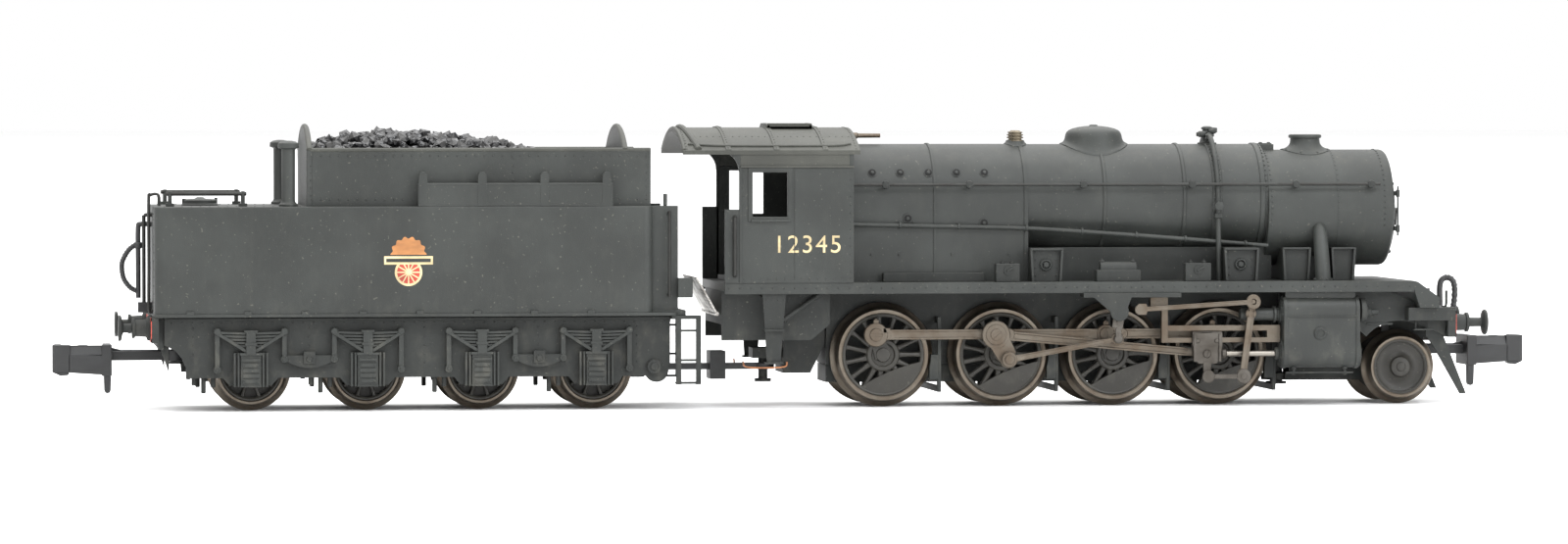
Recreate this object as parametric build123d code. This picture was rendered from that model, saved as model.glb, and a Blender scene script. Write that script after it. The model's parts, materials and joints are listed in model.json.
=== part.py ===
from build123d import *
import math
import os

# Freight steam locomotive, 2-8-0 with an eight-wheeled tender, for 9 mm gauge track.
# +X points to the engine's front, +Z up. Origin: midway between the coupler tips, at the
# bottom of the wheel flanges. The side with negative Y is called near, the other one far.
# Every length is in millimetres.

# ---------------------------------------------------------------- driving dimensions
BACK = 3.75             # back of a wheel flange, from the centre line
FLANGE_T = 0.6          # thickness of a flange
FACE = 5.65             # outer face of a tyre
RAIL_TOP = 0.55         # height of the tread above the flange bottoms

DRIVER_X = (7.7, 19.1, 30.0, 40.4)
DRIVER_R = 4.45         # tread radius
GEARED = 1              # index of the axle with the gear and the connecting rods
PONY_X = 58.3
PONY_R = 3.05
TENDER_X = (-52.7, -41.8, -31.0, -20.2)
TENDER_R = 3.3
AXLE_R = 0.75
SMALL_AXLE_R = 0.5
RUN = 0.06              # radial clearance of a running fit
GAP = 0.1               # side clearance between moving layers

CRANK_R = 2.1
NEAR_CRANK = 112.0      # degrees, crank angle of the near side at rest
FAR_CRANK = NEAR_CRANK - 90.0
PIN_R = 0.42

# layers across the motion, inner and outer face measured from the centre line
COUPLING_Y = (5.85, 6.3)
CONNECTING_Y = (6.65, 7.1)
RETURN_Y = (7.2, 7.6)
ECCENTRIC_Y = (7.85, 8.25)
LINK_Y = (8.5, 8.8)
OUTER_Y = (8.95, 9.25)

CYLINDER_Y = 7.75       # centre of the cylinders
CYLINDER_Z = 5.05
CYLINDER_X = (45.9, 53.6)
CROSSHEAD_MID = 39.55   # gudgeon pin at the middle of its stroke
LINK_X, LINK_Z = 30.0, 9.15
LINK_FOOT = 2.65
LEVER_X, LEVER_Z = 42.9, 8.9
LEVER_LOW, LEVER_HIGH = 5.9, 1.15

FOOT_Z = (11.2, 12.0)   # underside and top of the running plate
FOOT_X = (-8.0, 58.8)
FOOT_Y = 9.0
BOILER_Z, BOILER_R = 19.85, 5.3
BOILER_X = (4.35, 45.3)
FIREBOX_X = 21.7
SMOKE_Z, SMOKE_R = 18.95, 5.62
SMOKE_X = (45.3, 57.5)
CAB_X = (-6.5, 4.35)
CAB_Y = 9.1
SHEET = 0.4             # thickness of sheet-like walls
CAB_TOP = 22.95
EAVE_Z, ROOF_Z = 24.6, 26.75
ROOF_X = (-12.0, 4.95)

BUFFER_Y, BUFFER_Z = 5.83, 7.9
TANK_X = (-61.85, -14.75)
TANK_Y = 8.8
TANK_Z = (8.95, 19.35)
BUNKER_X = (-47.5, -14.9)
BUNKER_Y = 7.6
BUNKER_TOP = 24.65
ARCH_TOP = 26.85
BOX_X = (-52.8, -41.8, -31.0, -20.15)
BOX_Z = 4.1
FRAME_Y = (7.3, 7.8)

PONY_PIVOT = 47.2
DRAW_ENGINE, DRAW_TENDER = -3.2, -15.5
FALL_HINGE = (-8.3, 9.0)
COUPLER_PIVOT = (-59.55, 59.55)


# ---------------------------------------------------------------- shape helpers
def block(x0, x1, y0, y1, z0, z1):
    """Box from its six faces."""
    size = (x1 - x0, y1 - y0, z1 - z0)
    return Pos((x0 + x1) / 2, (y0 + y1) / 2, (z0 + z1) / 2) * Box(*size)


def rod_x(x0, x1, y, z, r):
    return Pos((x0 + x1) / 2, y, z) * Rot(0, 90, 0) * Cylinder(r, x1 - x0)


def rod_y(x, y0, y1, z, r):
    return Pos(x, (y0 + y1) / 2, z) * Rot(90, 0, 0) * Cylinder(r, y1 - y0)


def rod_z(x, y, z0, z1, r):
    return Pos(x, y, (z0 + z1) / 2) * Cylinder(r, z1 - z0)


def cone_z(x, y, z0, z1, r0, r1):
    return Pos(x, y, (z0 + z1) / 2) * Cone(r0, r1, z1 - z0)


def plate_y(points, y0, y1):
    """Flat plate with an outline in X and Z, standing between two Y planes."""
    outline = make_face(Polyline(*[(x, y0, z) for x, z in points], close=True))
    return extrude(outline, y1 - y0, dir=(0, 1, 0))


def plate_x(points, x0, x1):
    """Flat plate with an outline in Y and Z, between two X planes."""
    outline = make_face(Polyline(*[(x0, y, z) for y, z in points], close=True))
    return extrude(outline, x1 - x0, dir=(1, 0, 0))


def bar(start, end, r):
    """Round bar between two points."""
    path = Line(start, end)
    return sweep(Plane(start, z_dir=path @ 1 - path @ 0) * Circle(r), path)


def turned_x(profile, y, z):
    """Body of revolution about a line along X; the profile is a closed list of (x, radius)."""
    face = make_face(Polyline(*[(x, 0, r) for x, r in profile], close=True))
    return Pos(0, y, z) * revolve(face, Axis.X)


def turned_z(profile, x, y):
    """Body of revolution about a vertical line; the profile is a closed list of (radius, z)."""
    face = make_face(Polyline(*[(r, 0, z) for r, z in profile], close=True))
    return Pos(x, y, 0) * revolve(face, Axis.Z)


def link_bar(a, b, y0, y1, width, ends, hole_a=0.0, hole_b=0.0):
    """Rod between two pivots in X and Z, with round ends of two radii and their holes."""
    ax, az = a
    bx, bz = b
    length = math.hypot(bx - ax, bz - az)
    nx, nz = -(bz - az) / length * width / 2, (bx - ax) / length * width / 2
    corners = [(ax + nx, az + nz), (bx + nx, bz + nz), (bx - nx, bz - nz), (ax - nx, az - nz)]
    shape = plate_y(corners, y0, y1) + rod_y(ax, y0, y1, az, ends[0]) + rod_y(bx, y0, y1, bz, ends[1])
    for (x, z), r in ((a, hole_a), (b, hole_b)):
        if r:
            shape -= rod_y(x, y0 - 1, y1 + 1, z, r)
    return shape


def other(shape):
    """The same shape on the other side of the centre line."""
    return mirror(shape, about=Plane.XZ)


def both(shape):
    return shape + other(shape)


def sided(shape, side):
    """Shapes are drawn on the far side; side -1 puts one on the near side."""
    return shape if side > 0 else other(shape)


def at(x, z, r, degrees):
    return x + r * math.cos(math.radians(degrees)), z + r * math.sin(math.radians(degrees))


def save(name, shape):
    os.makedirs("parts", exist_ok=True)
    export_step(shape, f"parts/{name}.step")


# ---------------------------------------------------------------- wheels
def tyre(r):
    """Tyre of tread radius r with its flange, centred on the origin, axle along Y."""
    inner = r - 0.5
    ring = rod_y(0, BACK, FACE, 0, r) + rod_y(0, BACK, BACK + FLANGE_T, 0, r + RAIL_TOP)
    return ring - rod_y(0, BACK - 1, FACE + 1, 0, inner)


def driver_wheel(crank):
    """One far-side driving wheel, its crank pointing at the angle given in degrees."""
    rim = DRIVER_R - 0.5
    wheel = tyre(DRIVER_R) + rod_y(0, BACK + 0.2, FACE - 0.1, 0, 1.2)
    spokes = 14
    for i in range(spokes):
        spoke = Pos(rim / 2 + 0.3, 4.75, 0) * Box(rim - 0.3, 0.8, 0.42)
        wheel += Rot(0, 360 * i / spokes, 0) * spoke
    weight = rod_y(0, 4.4, FACE - 0.15, 0, rim + 0.1) - rod_y(2.0, 4, 6, 0, 3.9)
    wheel += Rot(0, -crank, 0) * weight
    px, pz = at(0, 0, CRANK_R, crank)
    return wheel + rod_y(px, 4.5, COUPLING_Y[0] - 0.06, pz, 0.75)


def driver_wheelset(index):
    x, z = DRIVER_X[index], DRIVER_R + RAIL_TOP
    shape = rod_y(0, -BACK - 0.4, BACK + 0.4, 0, AXLE_R)
    for side, crank in ((1, FAR_CRANK), (-1, NEAR_CRANK)):
        half = driver_wheel(crank)
        px, pz = at(0, 0, CRANK_R, crank)
        head = COUPLING_Y[1] + 0.02
        if index == GEARED:
            half += rod_y(px, 5, RETURN_Y[0] + 0.1, pz, PIN_R)
            qx, qz = return_pin(crank)
            arm = link_bar((px, pz), (qx, qz), *RETURN_Y, 0.7, (0.75, 0.5))
            half += arm + rod_y(qx, RETURN_Y[1] - 0.1, 8.35, qz, 0.27)
            half += rod_y(qx, 8.31, 8.42, qz, 0.45) + rod_y(px, 7.6, 7.68, pz, 0.5)
        else:
            half += rod_y(px, 5, head + 0.02, pz, PIN_R) + rod_y(px, head, head + 0.18, pz, 0.6)
        shape += sided(half, side)
    if index == GEARED:
        shape += rod_y(0, -0.9, 0.9, 0, GEAR_R)
    return Pos(x, 0, z) * shape


GEAR_R = 2.4
WORM_R = 0.9
WORM_Z = DRIVER_R + RAIL_TOP + GEAR_R + WORM_R + 0.05


def return_pin(crank):
    """Eccentric rod pin on the return crank, relative to the axle."""
    return at(0, 0, 0.6, crank - 156.0)


def plain_wheelset(r, x, spokes=0):
    """Wheelset with disc wheels, or with spoked ones."""
    half = tyre(r) + rod_y(0, BACK + 0.2, FACE + 0.1, 0, 0.8)
    if spokes:
        for i in range(spokes):
            spoke = Pos(r / 2, 4.75, 0) * Box(r - 0.6, 0.7, 0.4)
            half += Rot(0, 360 * i / spokes, 0) * spoke
    else:
        half += rod_y(0, 4.4, FACE - 0.35, 0, r - 0.4)
        half += Pos(0, FACE - 0.4, 0) * Rot(-90, 0, 0) * Cone(r - 0.8, 1.0, 0.35)
    return Pos(x, 0, r + RAIL_TOP) * (both(half) + rod_y(0, -BACK - 0.4, BACK + 0.4, 0, SMALL_AXLE_R))


# ---------------------------------------------------------------- coupling and valve motion
def gudgeon(crank):
    """Rest position of the crosshead pin for a crank angle."""
    px, pz = at(DRIVER_X[GEARED], DRIVER_R + RAIL_TOP, CRANK_R, crank)
    return px + math.sqrt(ROD_LENGTH**2 - (pz - CYLINDER_Z) ** 2), CYLINDER_Z


ROD_LENGTH = CROSSHEAD_MID - DRIVER_X[GEARED]


def coupling_rod(crank):
    pins = [at(x, DRIVER_R + RAIL_TOP, CRANK_R, crank) for x in DRIVER_X]
    rod = block(pins[0][0], pins[-1][0], *COUPLING_Y, pins[0][1] - 0.42, pins[0][1] + 0.42)
    for (xa, z), (xb, _) in zip(pins, pins[1:]):
        groove = block(xa + 1.5, xb - 1.5, COUPLING_Y[1] - 0.12, COUPLING_Y[1] + 1, z - 0.2, z + 0.2)
        rod -= groove
    for i, (x, z) in enumerate(pins):
        rod += rod_y(x, *COUPLING_Y, z, 0.8) + block(x - 0.25, x + 0.25, *COUPLING_Y, z + 0.6, z + 1.15)
    for x, z in pins:
        rod -= rod_y(x, 5, 7, z, PIN_R + RUN)
    return rod


def connecting_rod(crank):
    big = at(DRIVER_X[GEARED], DRIVER_R + RAIL_TOP, CRANK_R, crank)
    small = gudgeon(crank)
    y0, y1 = CONNECTING_Y
    rod = link_bar(big, small, y0, y1, 0.75, (1.05, 0.65), PIN_R + RUN, 0.3)
    mid = [(a + b) / 2 for a, b in zip(big, small)]
    slope = math.degrees(math.atan2(small[1] - big[1], small[0] - big[0]))
    groove = Pos(mid[0], y1, mid[1]) * Rot(0, -slope, 0) * Box(ROD_LENGTH - 4.5, 0.2, 0.35)
    return rod - groove


def crosshead(crank):
    """Crosshead with its piston rod, drop arm and union link."""
    x, z = gudgeon(crank)
    body = block(x - 1.4, x + 1.5, 7.3, 8.35, z - 0.9, 6.02)
    body += block(x - 1.4, x + 1.5, 8.08, 8.35, 5.9, 7.1) + block(x - 1.4, x + 1.5, 7.45, 8.2, 6.68, 7.16)
    body += block(x - 0.4, x + 0.5, 8.0, 8.35, z - 2.5, z - 0.8)
    body += rod_x(x + 1.4, x + 10.0, CYLINDER_Y, CYLINDER_Z, 0.28) + rod_y(x, 7.18, 8.55, z, 0.28)
    body -= rod_y(x, 8.4, 9, z, 1)
    low = z - 2.15
    foot = x + LEVER_FOOT
    union = link_bar((x, low), (foot, low), *OUTER_Y, 0.4, (0.36, 0.36), 0.0, 0.3)
    return body + union + rod_y(x, 8.2, 9.0, low, 0.25)


LEVER_FOOT = 3.45       # from the crosshead pin to the foot of the combination lever


def lever_tilt(crank):
    """Angle of the combination lever from upright, in degrees; its foot goes forward."""
    return math.degrees(math.asin((gudgeon(crank)[0] + LEVER_FOOT - LEVER_X) / LEVER_LOW))


def combination_lever(crank):
    low = at(LEVER_X, LEVER_Z, LEVER_LOW, -90 + lever_tilt(crank))
    high = at(LEVER_X, LEVER_Z, LEVER_HIGH, 90 + lever_tilt(crank))
    lever = link_bar(low, high, *LINK_Y, 0.42, (0.4, 0.38)) + rod_y(LEVER_X, *LINK_Y, LEVER_Z, 0.5)
    lever -= rod_y(LEVER_X, 8, 9, LEVER_Z, 0.24 + RUN)
    return lever + rod_y(high[0], LINK_Y[1] - 0.1, OUTER_Y[1] + 0.05, high[1], 0.22)


def radius_rod(crank):
    front = at(LEVER_X, LEVER_Z, LEVER_HIGH, 90 + lever_tilt(crank))
    rear = (LINK_X + 2.0, 9.35)
    rod = link_bar(rear, front, *OUTER_Y, 0.42, (0.5, 0.42), 0.0, 0.22 + RUN)
    return rod + block(rear[0] - 0.2, rear[0] + 0.7, *OUTER_Y, 8.85, 9.9)


def circles_meet(ax, az, ra, bx, bz, rb):
    """The lower point where two circles in X and Z meet."""
    d = math.hypot(bx - ax, bz - az)
    along = (ra**2 - rb**2 + d**2) / (2 * d)
    h = math.sqrt(ra**2 - along**2)
    ux, uz = (bx - ax) / d, (bz - az) / d
    points = [(ax + along * ux - s * h * uz, az + along * uz + s * h * ux) for s in (1, -1)]
    return min(points, key=lambda p: p[1])


def eccentric_rod_length():
    qx, qz = return_pin(NEAR_CRANK)
    return math.hypot(LINK_X - DRIVER_X[GEARED] - qx, LINK_Z - LINK_FOOT - DRIVER_R - RAIL_TOP - qz)


def link_foot(crank):
    qx, qz = return_pin(crank)
    rear = (DRIVER_X[GEARED] + qx, DRIVER_R + RAIL_TOP + qz)
    return rear, circles_meet(*rear, eccentric_rod_length(), LINK_X, LINK_Z, LINK_FOOT)


def eccentric_rod(crank):
    rear, front = link_foot(crank)
    return link_bar(rear, front, *ECCENTRIC_Y, 0.5, (0.62, 0.45), 0.27 + RUN, 0.2)


def expansion_link(crank):
    """Curved slotted link hung on the bracket, its foot where the eccentric rod ends."""
    _, (fx, fz) = link_foot(crank)
    tilt = math.degrees(math.atan2(fx - LINK_X, LINK_Z - fz))
    link = block(-0.55, 0.55, *LINK_Y, -1.75, 1.0) + link_bar((0, -1.7), (0, -LINK_FOOT), *LINK_Y, 0.6, (0.5, 0.4))
    link -= block(-0.18, 0.18, 8, 9, -1.4, -0.55)
    link -= rod_y(0, 8, 9, 0, 0.26 + RUN)
    return Pos(LINK_X, 0, LINK_Z) * Rot(0, -tilt, 0) * link


# ---------------------------------------------------------------- engine chassis
def chassis():
    """Two side plates with axle slots, joined by spacer blocks, and the pony's pivot pin."""
    z_axle = DRIVER_R + RAIL_TOP
    plate = block(2.5, 54.0, 2.5, 3.3, 4.0, FOOT_Z[0])
    for x in DRIVER_X:
        slot = block(x - AXLE_R - RUN, x + AXLE_R + RUN, 2, 4, 3.9, z_axle)
        plate -= slot + rod_y(x, 2, 4, z_axle, AXLE_R + RUN)
    shape = both(plate)
    for x0, x1 in ((2.5, 4.0), (24.0, 27.5), (32.0, 38.0), (42.5, 54.0)):
        shape += block(x0, x1, -2.6, 2.6, 4.0, FOOT_Z[0])
    shape += block(24.0, 27.5, -3.3, 3.3, FOOT_Z[0], 15.2) + block(27.5, 46.0, -3.3, 3.3, FOOT_Z[0], 15.2)
    shape += rod_z(PONY_PIVOT, 0, 2.0, 4.1, 0.6) + rod_z(PONY_PIVOT, 0, 1.8, 2.05, 1.0)
    return shape - rod_x(23, 45.3, 0, BOILER_Z, BOILER_R + 0.1) - rod_x(45.3, 47, 0, SMOKE_Z, SMOKE_R)


def keeper_plate():
    """Bottom plate that holds the axles in their slots, open under the gear."""
    x = DRIVER_X[GEARED]
    return block(2.5, 44.8, -2.9, 2.9, 2.3, 3.95) - block(x - 2.7, x + 2.7, -1.1, 1.1, 2, 5)


def motor():
    can = rod_x(4.6, 13.4, 0, WORM_Z, 2.4) - block(4, 14, -3, 3, WORM_Z + 2.1, 12) - block(4, 14, -3, 3, 0, WORM_Z - 2.1)
    bearing = block(22.6, 23.9, -1.2, 1.2, WORM_Z - 1.2, FOOT_Z[0]) - rod_x(22, 24, 0, WORM_Z, 0.35 + RUN)
    saddle = block(4.0, 14.0, -2.4, 2.4, WORM_Z + 2.1, FOOT_Z[0])
    return can - rod_x(11.5, 14, 0, WORM_Z, 0.35 + RUN) + bearing + saddle


def worm_shaft():
    return rod_x(11.6, 23.8, 0, WORM_Z, 0.35) + rod_x(17.0, 21.4, 0, WORM_Z, WORM_R)


def footplate():
    """Running plate with its valance, and the curved drop to the front platform."""
    x0, x1 = FOOT_X
    plate = block(x0, x1, -FOOT_Y, FOOT_Y, *FOOT_Z)
    plate -= block(23.9, 46.2, -3.4, 3.4, 10, 13)
    slope = [(x1, FOOT_Z[0]), (x1, FOOT_Z[1]), (x1 + 0.4, 11.9), (x1 + 2.5, 10.4), (x1 + 2.5, 9.4), (x1 + 0.6, 9.4)]
    plate += plate_y(slope, -FOOT_Y, FOOT_Y)
    return plate + both(block(x0, x1, FOOT_Y - 0.3, FOOT_Y, FOOT_Z[0] - 0.25, FOOT_Z[0]))


def front_beam():
    platform = block(58.4, 63.0, -8.5, 8.5, 8.15, 9.4)
    beam = block(62.3, 63.1, -8.4, 8.4, 6.55, 9.1)
    pocket = block(58.0, 62.3, -1.7, 1.7, 6.0, 8.15) - block(58.4, 63, -1.3, 1.3, 5, 7.4)
    gusset = plate_y([(59.0, 8.15), (62.3, 8.15), (62.3, 6.6)], 6.9, 7.2)
    iron = plate_y([(60.6, 6.7), (62.3, 6.7), (64.6, 1.0), (64.0, 1.0), (61.6, 5.2)], 5.95, 6.35)
    rail = block(60.6, 62.3, 5.95, 6.35, 6.5, 8.15)
    box = block(59.6, 61.2, -3.5, 3.5, 9.4, 10.3) - footplate()
    pivot = rod_z(COUPLER_PIVOT[1], 0, 4.4, 7.45, 0.4)
    pivot += rod_z(COUPLER_PIVOT[1], 0, 4.35, 4.5, 0.7)
    return platform + beam + pocket + both(gusset + iron + rail) + box + pivot


def buffer(front):
    """Turned buffer: stock, collar, shank and head; front is the side it faces."""
    s = 1 if front else -1
    face = 66.7 if front else -65.2
    root = 63.1 if front else -62.1
    y, z = BUFFER_Y, BUFFER_Z

    def turned(a, b, r):
        return rod_x(min(a, b), max(a, b), y, z, r)

    shape = turned(root, root + s * 0.35, 1.15) + turned(root, root + s * 1.7, 0.78)
    shape += turned(root + s * 1.5, root + s * 1.75, 0.95) + turned(root, face, 0.42)
    return shape + turned(face - s * 0.4, face, 1.22)


def front_fittings():
    """Buffers, vacuum pipe and lamp irons of the front beam."""
    shape = both(buffer(True))
    path = FilletPolyline((64.0, 0, 7.5), (64.0, 0, 11.8), (65.4, 0, 11.8), (65.4, 0, 9.0), radius=0.6)
    hose = sweep(Plane((64.0, 0, 7.5), z_dir=(0, 0, 1)) * Circle(0.3), path)
    shape += Pos(0, 2.2, 0) * (hose + block(63.1, 64.2, -0.3, 0.3, 7.7, 8.4))
    for y in (-6.8, 0.6, 6.8):
        shape += block(62.4, 62.6, y - 0.25, y + 0.25, 9.4, 11.0)
    return shape


def coupler(end):
    """Moulded hook coupler: shank with its pivot ring, cross bar, arm and front hook."""
    s, x = (1, COUPLER_PIVOT[1]) if end == "front" else (-1, COUPLER_PIVOT[0])
    z0, z1 = 4.55, 5.65

    def piece(a, b, y0, y1, low, high):
        return block(min(x + s * a, x + s * b), max(x + s * a, x + s * b), y0, y1, low, high)

    shape = rod_z(x, 0, z0, z1, 1.0) + piece(0, 6.3, -0.7, 0.7, z0, z1) - rod_z(x, 0, z0 - 1, z1 + 1, 0.4 + RUN)
    tall = (3.6, 6.5) if end == "front" else (3.25, 6.2)
    shape += piece(6.1, 7.1, -2.4, 2.4, *tall) + piece(6.9, 11.7, -2.4, -1.5, *tall)
    shape += piece(10.7, 11.7, -2.4, 1.2, *tall)
    return shape + piece(6.1, 6.8, -1.9, -1.3, 1.6, tall[0] + 0.1)


def pony_truck():
    """Leading truck: a long arm to its pivot and two bearing plates."""
    arm = block(PONY_PIVOT, PONY_X + 1.6, -1.3, 1.3, 2.2, 2.85) + rod_z(PONY_PIVOT, 0, 2.2, 2.85, 1.5)
    z = PONY_R + RAIL_TOP
    arm += block(PONY_X - 1.3, PONY_X + 1.6, -2.6, 2.6, 2.2, 2.85)
    bearings = block(PONY_X - 1.3, PONY_X + 1.6, 1.95, 2.6, 2.2, z + 1.0)
    shape = arm + both(bearings) - rod_z(PONY_PIVOT, 0, 1, 4, 0.6 + RUN)
    side = block(PONY_PIVOT + 0.5, PONY_X + 1.0, 1.3, 1.7, 2.2, 3.6) - block(40, 48.2, -5, 5, 2.9, 4)
    return shape + both(side) - rod_y(PONY_X, -4, 4, z, SMALL_AXLE_R + RUN)


# ---------------------------------------------------------------- cylinders and brackets
def cylinders():
    x0, x1 = CYLINDER_X
    body = block(x0 + 0.3, x1 - 0.3, 6.4, 9.15, 4.6, 9.6) + rod_x(x0 + 0.3, x1 - 0.3, CYLINDER_Y, CYLINDER_Z, 1.42)
    body += rod_x(x0 + 0.3, x1 - 0.3, 7.95, 9.3, 1.2)
    body += rod_x(x0, x1, CYLINDER_Y, CYLINDER_Z, 1.38) + rod_x(x0, x1 + 0.75, 7.95, 8.9, 1.15)
    body += rod_x(x1, x1 + 1.6, 7.95, 8.9, 0.35) + block(x0 + 0.3, x1 - 0.3, 6.4, 8.5, 9.5, FOOT_Z[0])
    body += block(x0 + 1.2, x1 - 1.2, 3.3, 6.5, 6.2, FOOT_Z[0])
    body += rod_y(49.7, 9.1, 9.35, 7.5, 0.45)
    body -= rod_x(x0 - 1, 52.6, CYLINDER_Y, CYLINDER_Z, 0.28 + RUN)
    guide = block(42.1, x0, *OUTER_Y, 8.1, 9.35) + rod_y(LEVER_X, LINK_Y[0] - 0.1, 9.0, LEVER_Z, 0.24)
    return both(body + guide)


def slide_bars():
    bars = block(34.8, 45.0, 7.4, 8.0, 6.12, 6.6) + block(34.8, 45.0, 7.4, 8.0, 7.24, 7.78)
    bars += block(44.6, CYLINDER_X[0], 7.4, 8.0, 6.12, 7.78) + block(34.3, 34.9, 7.3, 8.1, 6.12, FOOT_Z[0])
    ears = block(33.2, 34.9, 7.3, 8.1, 9.6, FOOT_Z[0])
    return both(bars + ears - cylinders())


def motion_brackets():
    """Bracket under the running plate that carries the expansion link."""
    strip = block(26.5, 36.0, 8.2, 9.25, 10.5, 10.95) + block(26.5, 33.1, 7.4, 9.25, 10.5, FOOT_Z[0] - 0.25)
    web = plate_y([(27.4, 10.6), (31.2, 10.6), (30.55, 8.9), (29.4, 8.9)], *OUTER_Y)
    boss = rod_y(LINK_X, *OUTER_Y, LINK_Z, 0.9) + rod_y(LINK_X, LINK_Y[0] - 0.1, OUTER_Y[0] + 0.1, LINK_Z, 0.26)
    ties = block(26.5, 33.1, 7.4, 8.7, 10.5, FOOT_Z[0])
    return both(strip + web + boss + ties)


def frame_stays():
    """Plates between running plate and boiler, and the cradle under the smokebox."""
    shape = both(block(21.8, 24.7, 3.4, 7.0, FOOT_Z[1], 15.2) + block(40.7, 43.8, 3.4, 7.0, FOOT_Z[1], 15.2))
    shape += both(rod_y(23.2, 6.9, 7.15, 13.6, 0.4) + rod_y(42.2, 6.9, 7.15, 13.6, 0.4))
    for x0, x1 in ((46.7, 49.2), (51.5, 53.6)):
        shape += block(x0, x1, -5.6, 5.6, FOOT_Z[1], 15.1)
    shape += block(49.2, 51.5, -3.2, 3.2, FOOT_Z[1], 15.1)
    shape -= rod_x(20, 45.3, 0, BOILER_Z, BOILER_R + 0.1) + rod_x(45.3, 60, 0, SMOKE_Z, SMOKE_R)
    return shape


def platform_boxes():
    """Lubricators, reverser shaft and small boxes standing on the running plate."""
    z = FOOT_Z[1]
    near = block(18.2, 20.5, 7.0, 8.2, z, 13.75) + block(36.6, 39.1, 7.0, 8.2, z, 13.75)
    near += block(28.0, 32.3, 6.6, 8.0, z, 13.1) + rod_x(28.4, 31.9, 7.3, 13.3, 0.6)
    near += block(7.6, 17.4, 5.5, 6.3, z, 12.85)
    return both(near)


def brake_gear():
    """Hangers with their shoes behind each driving wheel, on cross beams."""
    shape = None
    for x in DRIVER_X:
        hanger = block(x + 5.3, x + 5.65, 4.7, 5.3, 1.4, 8.3)
        shoe = block(x + 4.5, x + 5.4, 4.6, 5.4, 2.6, 5.0) - rod_y(x, 4, 6, DRIVER_R + RAIL_TOP, DRIVER_R + 0.2)
        beam = block(x + 5.3, x + 5.65, -5.3, 5.3, 1.4, 2.0)
        top = block(x + 5.3, x + 5.65, 3.3, 5.3, 8.0, 8.6)
        shape = both(hanger + shoe + top) + beam + (shape or Part())
    return shape


def ashpan():
    """Rear frames, ashpan under the firebox, drag beam, drawbar pin and cab step brackets."""
    side = plate_y([(-8.0, 6.5), (0.6, 6.5), (2.4, 8.0), (2.4, FOOT_Z[0]), (-8.0, FOOT_Z[0])], 6.2, 6.6)
    pan = plate_y([(-1.6, 3.2), (1.0, 3.2), (2.4, 6.0), (2.4, FOOT_Z[0]), (-1.6, FOOT_Z[0])], -3.0, 3.0)
    plate = plate_y([(-4.35, 11.0), (-2.1, 11.0), (-2.65, 4.3), (-3.9, 4.3)], 8.4, 8.7)
    steps = block(-4.1, -2.4, 7.9, 9.0, 4.3, 4.5) + block(-4.2, -2.3, 7.9, 9.0, 7.4, 7.6)
    brace = bar((-2.3, 7.9, 8.4), (1.6, 6.6, 11.0), 0.25)
    top = block(-4.35, -2.1, 6.6, 8.7, 10.7, FOOT_Z[0] - 0.25)
    shape = pan + both(side + plate + steps + brace + top)
    tongue = block(DRAW_ENGINE - 1.2, -1.5, -1.5, 1.5, 4.6, 5.6)
    tongue += block(FOOT_X[0], -7.3, -6.3, 6.3, 8.0, FOOT_Z[0])
    return shape + tongue + rod_z(DRAW_ENGINE, 0, 2.5, 4.7, 0.45) + rod_z(DRAW_ENGINE, 0, 2.3, 2.6, 0.8)


def drawbar():
    """Bar between engine and tender, with the contact box on it."""
    ring = rod_z(DRAW_ENGINE, 0, 3.5, 4.1, 1.1) + rod_z(DRAW_TENDER, 0, 3.5, 4.1, 1.1)
    shape = ring + block(DRAW_TENDER, DRAW_ENGINE, -0.8, 0.8, 3.5, 4.1) + block(-8.5, -7.0, -1.5, 1.5, 2.6, 5.3)
    return shape - rod_z(DRAW_ENGINE, 0, 3, 5, 0.45 + RUN) - rod_z(DRAW_TENDER, 0, 3, 5, 0.45 + RUN)


def fall_plate():
    """Hinged plate in the gap to the tender, leaning back from the drag beam."""
    x, z = FALL_HINGE
    top_x, top_z = x - 2.0, z + 3.5
    plate = plate_y([(x - 0.1, z), (x + 0.1, z), (top_x + 0.1, top_z), (top_x - 0.1, top_z)], -5.5, 5.5)
    return plate + rod_y(x, -5.5, 5.5, z, 0.2)


# ---------------------------------------------------------------- boiler and its mountings
def boiler():
    """Barrel with bands and the firebox wrapper."""
    x0, x1 = BOILER_X
    shape = rod_x(x0, x1, 0, BOILER_Z, BOILER_R) + block(x0, FIREBOX_X, -BOILER_R, BOILER_R, FOOT_Z[1], BOILER_Z)
    for x, width in ((12.75, 0.35), (FIREBOX_X, 0.4), (29.3, 0.4), (37.1, 0.4), (40.3, 0.7), (44.8, 0.7)):
        shape += rod_x(x - width / 2, x + width / 2, 0, BOILER_Z, BOILER_R + 0.1)
    for i in range(5):
        plug = rod_y(6.75 + 2.72 * i, 4.2, 4.85, BOILER_Z + 2.55, 0.38)
        shape += both(plug)
    shape += both(rod_y(10.1, 5, 5.45, 18.05, 0.38) + rod_y(17.5, 5, 5.45, 17.6, 0.38))
    pads = block(43.8, x1, -0.8, 0.8, 24.8, 25.4)
    return shape + pads - block(22, 46, -9, 9, 5, 12)


def smokebox():
    x0, x1 = SMOKE_X
    drum = rod_x(x0, x1, 0, SMOKE_Z, SMOKE_R)
    rim = rod_x(x1, x1 + 0.25, 0, SMOKE_Z, SMOKE_R - 0.1)
    return drum + rim - rod_z(CHIMNEY_X, 0, 22, 27, 1.0) + block(x0, 46.8, -0.7, 0.7, 24.3, 25.2)


CHIMNEY_X, DOME_X, VALVE_X, FEED_X = 50.0, 29.1, 21.4, 40.3


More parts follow.
